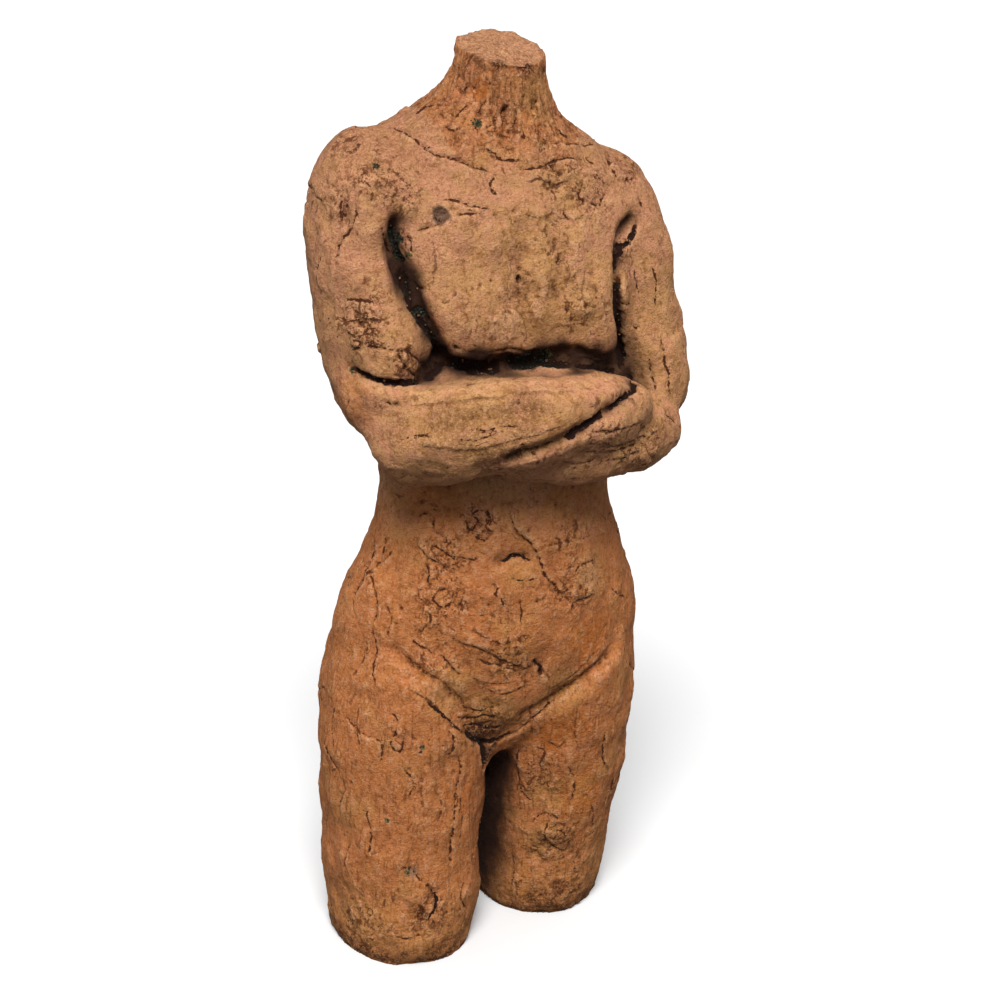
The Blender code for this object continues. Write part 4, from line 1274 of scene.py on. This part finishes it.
@dataclass(frozen=True)
class FiredClay:
    """Unglazed terracotta that has stood outdoors: its tones, its dirt, painted shade in its hollows and its
    fine cracks.
    """

    tan: str = "c48f5f"
    pink: str = "c98c68"
    ochre: str = "b8884c"
    orange: str = "b9692c"
    pale: str = "dea97e"
    grey: str = "6f6156"
    brown: str = "87491c"
    umber: str = "54280d"
    soot: str = "1f0f06"
    # The colour of the painted shade.
    shade: str = "240c03"
    moss_dark: str = "15150b"
    moss_green: str = "666b40"
    roughness: float = 0.82
    specular: float = 0.22

    def make(self) -> bpy.types.Material:
        """Builds the clay's nodes."""
        s = Sheet("weathered_terracotta")
        soft = s.noise(5 * MM, 5.0, 0.4, 0.62)
        fine = s.noise(1.9 * MM, 4.0, 0.3, 0.68)
        grit = s.noise(0.8 * MM, 2.0)
        scales = s.read(Stain.SCALES.value)
        colour = self._tones(s, soft, fine)
        colour = s.mix(s.band(soft, 0.5, 0.68, 0.5), colour, tint(self.brown))
        colour = s.mix(s.band(fine, 0.45, 0.33, 0.5), colour, tint(self.brown))
        colour = s.mix(s.band(fine, 0.55, 0.68, 0.35), colour, tint(self.pale))
        streaks = s.noise(1.0, 4.0, 0.3, 0.6, s.drawn_out(2.4 * MM, 17 * MM))
        streaks = s.times(s.band(streaks, 0.46, 0.34, 0.65), s.read("streaks"))
        colour = s.mix(streaks, colour, tint(self.umber))
        specks = s.times(s.band(grit, 0.62, 0.72, 0.5), s.band(s.noise(9 * MM, 3.0), 0.42, 0.6))
        colour = s.mix(specks, colour, tint(self.umber))
        flakes = self._flakes(s, scales)
        colour = s.mix(s.times(flakes, 0.75), colour, tint(self.umber))
        # Dirt and painted shade: umber, then near-black where the stain is strongest.
        worn = s.band(s.noise(2.4 * MM, 4.0, 0.8, 0.66), 0.3, 0.6, 0.65)
        dirt_and_shade = s.times(s.read("dirt_and_shade"), s.math("ADD", worn, 0.3))
        colour = s.mix(s.band(dirt_and_shade, 0.1, 0.75, 0.62), colour, tint(self.umber))
        colour = s.mix(s.band(dirt_and_shade, 0.6, 0.95, 0.9), colour, tint(self.soot))
        # Dark joints with painted shade at the foot of each step of clay.
        edges = s.math("MAXIMUM", self._step_foot(s, "slab", 1.6), self._step_foot(s, "flake", 1.1))
        edges = s.math("MAXIMUM", edges, self._step_foot(s, "scale", 0.8))
        colour = s.mix(s.times(edges, 0.8), colour, tint(self.umber))
        # The dark lines of cracks, and painted shade deep in the creases.
        lines = self._cracks(s)
        colour = s.mix(s.band(lines, 0.0, 0.7, 0.95), colour, tint(self.umber))
        colour = s.mix(s.band(lines, 0.6, 1.0, 0.95), colour, tint(self.soot))
        # Painted shade: the clay goes almost black where the figure closes in on itself.
        colour = s.mix(s.band(s.read("painted_shade"), 0.06, 0.46, 0.96), colour, tint(self.shade))
        colour = self._moss(s, colour)
        s.put(s.surface.inputs["Base Color"], colour)
        s.put(s.surface.inputs["Roughness"], s.math("ADD", s.math("MULTIPLY", fine, 0.2), self.roughness))
        s.surface.inputs["Specular IOR Level"].default_value = self.specular
        relief = s.bump(soft, 1.8 * MM)
        relief = s.bump(fine, 1.5 * MM, relief)
        relief = s.bump(grit, 0.45 * MM, relief)
        relief = s.bump(s.math("SUBTRACT", 1.0, lines), 1.0 * MM, relief)
        s.put(s.surface.inputs["Normal"], relief)
        return s.material

    def _tones(self, s: Sheet, soft: bpy.types.NodeSocket,
               fine: bpy.types.NodeSocket) -> bpy.types.NodeSocket:
        """The clay's own colours, from its broad stains."""
        colour = s.mix(s.band(s.noise(14 * MM, 4.0, 0.6), 0.38, 0.64), tint(self.tan), tint(self.pink))
        colour = s.mix(s.times(s.read("pink"), s.band(soft, 0.3, 0.6)), colour, tint(self.pink))
        colour = s.mix(s.times(s.read("orange"), s.band(soft, 0.2, 0.5, 0.97)), colour, tint(self.orange))
        dusty = s.math("ADD", s.band(soft, 0.35, 0.62, 0.75), 0.15)
        colour = s.mix(s.times(s.read("ochre"), dusty), colour, tint(self.ochre))
        colour = s.mix(s.times(s.read("pale"), s.band(fine, 0.3, 0.6, 0.8)), colour, tint(self.pale))
        return s.mix(s.times(s.read("grey"), 0.85), colour, tint(self.grey))

    def _flakes(self, s: Sheet, scales: bpy.types.NodeSocket) -> bpy.types.NodeSocket:
        """The fine open joints between curling flakes, thick where the skin is scaly."""
        swell = s.band(s.noise(5 * MM, 2.0), 0.42, 0.72, 0.11)
        large = s.math("SUBTRACT", s.flakes(7.5 * MM, 7 * MM), swell)
        small = s.math("SUBTRACT", s.flakes(3.6 * MM, 4 * MM), s.band(s.noise(4 * MM, 2.0), 0.45, 0.75, 0.14))
        joints = s.math("MAXIMUM", s.band(large, 0.02, -0.03), s.band(small, 0.01, -0.05, 0.9))
        broken = s.band(s.noise(8 * MM, 3.0), 0.42, 0.58)
        return s.times(joints, broken, s.math("ADD", s.times(scales, 0.7), 0.28))

    def _step_foot(self, s: Sheet, name: str, width: float) -> bpy.types.NodeSocket:
        """The dark joint and painted shade at the foot of each ragged step in a layer of clay, up to the given
        width in millimetres.
        """
        jitter = s.times(s.math("SUBTRACT", s.noise(1.8 * MM, 3.0), 0.5), 1.8)
        gap = s.math("ABSOLUTE", s.math("ADD", s.read(name + "_gap"), jitter))
        swell = s.band(s.noise(6 * MM, 3.0), 0.36, 0.68, width)
        foot = s.band(s.math("SUBTRACT", gap, swell), 0.0, -0.5)
        return s.times(foot, s.band(s.read(name + "_dark"), 0.15, 0.6))

    def _cracks(self, s: Sheet) -> bpy.types.NodeSocket:
        """The dark lines of the strokes, ragged and of uneven width whatever the mesh."""
        jitter = s.times(s.math("SUBTRACT", s.noise(1.5 * MM, 3.0), 0.5), 1.9)
        gap = s.math("ABSOLUTE", s.math("ADD", s.read("crack_gap"), jitter))
        dark = s.read("crack_dark")
        swell = s.math("SUBTRACT", s.band(s.noise(4.5 * MM, 2.0), 0.34, 0.68, 1.5), 0.35)
        swell = s.math("ADD", swell, s.times(s.band(dark, 0.7, 1.0), 0.7))
        return s.times(s.band(s.math("SUBTRACT", gap, swell), 0.35, -0.25), dark)

    def _moss(self, s: Sheet, colour: bpy.types.NodeSocket) -> bpy.types.NodeSocket:
        """Lays thin dark moss over the clay, with greener bits in it."""
        patchy = s.math("ADD", s.read("moss"), s.times(s.noise(2.2 * MM, 4.0), 0.8))
        moss = s.band(patchy, 0.8, 1.1)
        fresh = s.math("SUBTRACT", s.noise(1.5 * MM, 3.0), s.times(s.read("dirt_and_shade"), 0.2))
        green = s.mix(s.band(fresh, 0.38, 0.56), tint(self.moss_dark), tint(self.moss_green))
        return s.mix(s.times(moss, 0.9), colour, green)


@dataclass(frozen=True)
class DampMoss:
    """Small dark cushions of moss, greener on top."""

    dark: str = "15150b"
    green: str = "5d6038"

    def make(self) -> bpy.types.Material:
        """Builds the moss's nodes."""
        s = Sheet("damp_moss")
        colour = s.mix(s.band(s.noise(2.4 * MM, 4.0), 0.54, 0.72), tint(self.dark), tint(self.green))
        s.put(s.surface.inputs["Base Color"], colour)
        s.put(s.surface.inputs["Roughness"], s.math("ADD", s.math("MULTIPLY", s.noise(1.2 * MM), 0.2), 0.75))
        s.put(s.surface.inputs["Normal"], s.bump(s.noise(0.5 * MM, 4.0), 0.5 * MM))
        return s.material


@dataclass(frozen=True)
class LooseClay:
    """Crumbs of the same clay, dusty and a little paler."""

    tan: str = "8f6540"
    brown: str = "5a3318"

    def make(self) -> bpy.types.Material:
        """Builds the crumbs' nodes."""
        s = Sheet("clay_crumbs")
        colour = s.mix(s.band(s.noise(3 * MM, 4.0), 0.4, 0.65), tint(self.tan), tint(self.brown))
        s.put(s.surface.inputs["Base Color"], colour)
        s.put(s.surface.inputs["Roughness"], s.math("ADD", s.math("MULTIPLY", s.noise(1.2 * MM), 0.15), 0.8))
        s.put(s.surface.inputs["Normal"], s.bump(s.noise(0.6 * MM, 4.0), 0.4 * MM))
        return s.material


@dataclass(frozen=True)
class Studio:
    """A pale floor under one large soft light from above and in front, with little light from below."""

    floor_size: float = 60.0
    sky_above: float = 0.5
    sky_below: float = 0.06
    key_strength: float = 3.9
    key_bearing: float = math.radians(-24)
    key_rise: float = math.radians(54)
    key_softness: float = math.radians(26)

    def set_up(self, view: PhotoView) -> None:
        """Makes the floor, the lights and the camera."""
        bpy.ops.mesh.primitive_plane_add(size=self.floor_size)
        floor = bpy.context.object
        floor.name = "floor"
        floor.visible_diffuse = False
        s = Sheet("pale_floor")
        s.put(s.surface.inputs["Base Color"], s.mix(s.noise(0.5, 3.0), tint("e6e6e6"), tint("e2e2e2")))
        s.surface.inputs["Roughness"].default_value = 0.8
        s.surface.inputs["Specular IOR Level"].default_value = 0.05
        floor.data.materials.append(s.material)
        self._air()
        data = bpy.data.lights.new("key_light", "SUN")
        data.energy = self.key_strength
        data.angle = self.key_softness
        lamp = bpy.data.objects.new("key_light", data)
        flat = math.cos(self.key_rise)
        across, along = math.sin(self.key_bearing) * flat, -math.cos(self.key_bearing) * flat
        away = Vector((across, along, math.sin(self.key_rise)))
        lamp.matrix_world = away.to_track_quat("Z", "Y").to_matrix().to_4x4()
        bpy.context.scene.collection.objects.link(lamp)
        bpy.context.scene.view_settings.view_transform = "Standard"
        view.make_camera()

    def _air(self) -> None:
        """Fills the room with soft white light, weaker from below."""
        world = bpy.data.worlds.new("studio_air")
        bpy.context.scene.world = world
        world.use_nodes = True
        nodes, links = world.node_tree.nodes, world.node_tree.links
        place = nodes.new("ShaderNodeTexCoord")
        parts = nodes.new("ShaderNodeSeparateXYZ")
        level = nodes.new("ShaderNodeMapRange")
        level.inputs["From Min"].default_value = -0.3
        level.inputs["From Max"].default_value = 0.5
        level.inputs["To Min"].default_value = self.sky_below
        level.inputs["To Max"].default_value = self.sky_above
        links.new(place.outputs["Generated"], parts.inputs[0])
        links.new(parts.outputs["Z"], level.inputs["Value"])
        links.new(level.outputs["Result"], nodes["Background"].inputs["Strength"])
        nodes["Background"].inputs["Color"].default_value = (1.0, 1.0, 1.0, 1.0)


@dataclass(frozen=True)
class Torso:
    """The whole figure: its skin, worked region by region, and what clings to it."""

    most_triangles: int = 194000
    regions: tuple = (Neck(), Shoulders(), Chest(), Arms(), Belly(), Legs())
    hidden: HiddenSides = HiddenSides()
    clay: HandLaidClay = HandLaidClay()
    tones: Tones = Tones()
    moss: Tuft = Tuft("moss_tufts", 420, 0.5 * MM, 1.3 * MM, 0.35, 0.6, 8)
    crumbs: Tuft = Tuft("clay_crumbs", 260, 0.5 * MM, 1.3 * MM, 0.3, 0.8, 9)

    def build(self, node: bpy.types.Object, view: PhotoView) -> None:
        """Works the skin and sets the moss and the crumbs on it.

        Args:
            node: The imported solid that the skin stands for.
            view: The photograph's view, through which the strokes are laid.
        """
        skin = Skin(node, view)
        LOG.info("skin: %d points at %.0f s", len(skin.points), time.process_time())
        self.clay.press(skin)
        self._lay_regions(skin)
        self.tones.lay(skin)
        self.clay.lay(skin)
        self.clay.prick(skin)
        self.clay.settle_dirt_and_shade(skin)
        LOG.info("worked at %.0f s", time.process_time())
        damp = np.clip(skin.stains[Stain.MOSS], 0, 1) ** 2 * (0.2 + skin.stains[Stain.DIRT_AND_SHADE]) + 1e-9
        cushions = self.moss.scatter(skin, damp)
        rough = step(np.abs(skin.lines["crack_gap"]), 2.6, 0.6) * skin.lines["crack_dark"] + 0.01
        bits = self.crumbs.scatter(skin, rough)
        body = skin.finish(self.most_triangles)
        body.name = "clay_skin"
        self._dress(body, FiredClay().make())
        self._dress(cushions, DampMoss().make())
        self._dress(bits, LooseClay().make())
        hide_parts("torso")
        LOG.info("dressed at %.0f s", time.process_time())

    def _lay_regions(self, skin: Skin) -> None:
        """Lays every region's strokes, patches and pits, and the hidden sides' cracks."""
        strokes = [stroke for region in self.regions for stroke in region.strokes]
        strokes += self.hidden.strokes()
        for k, stroke in enumerate(strokes):
            skin.score(stroke, k + 1)
        for region in self.regions:
            for patch in region.patches:
                skin.spot(patch)
            for across, down, radius in region.pits:
                found = skin.hit((across, down))
                if found is not None:
                    skin.pit(found[0], radius * MM, radius * 1.1 * MM)
            if hasattr(region, "work"):
                region.work(skin)
        LOG.info("laid %d strokes at %.0f s", len(strokes), time.process_time())

    def _dress(self, piece: bpy.types.Object, material: bpy.types.Material) -> None:
        """Gives a piece its material and its body."""
        piece.data.materials.append(material)
        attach(piece, "root")
        LOG.info("%s: %d faces", piece.name, len(piece.data.polygons))


def main() -> None:
    """Builds the torso's looks and the studio round it."""
    logging.basicConfig(level=logging.INFO, format="%(name)s %(message)s")
    view = PhotoView()
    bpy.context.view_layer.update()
    Torso().build(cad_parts["torso"], view)
    Studio().set_up(view)


if __name__ == "__main__":
    main()
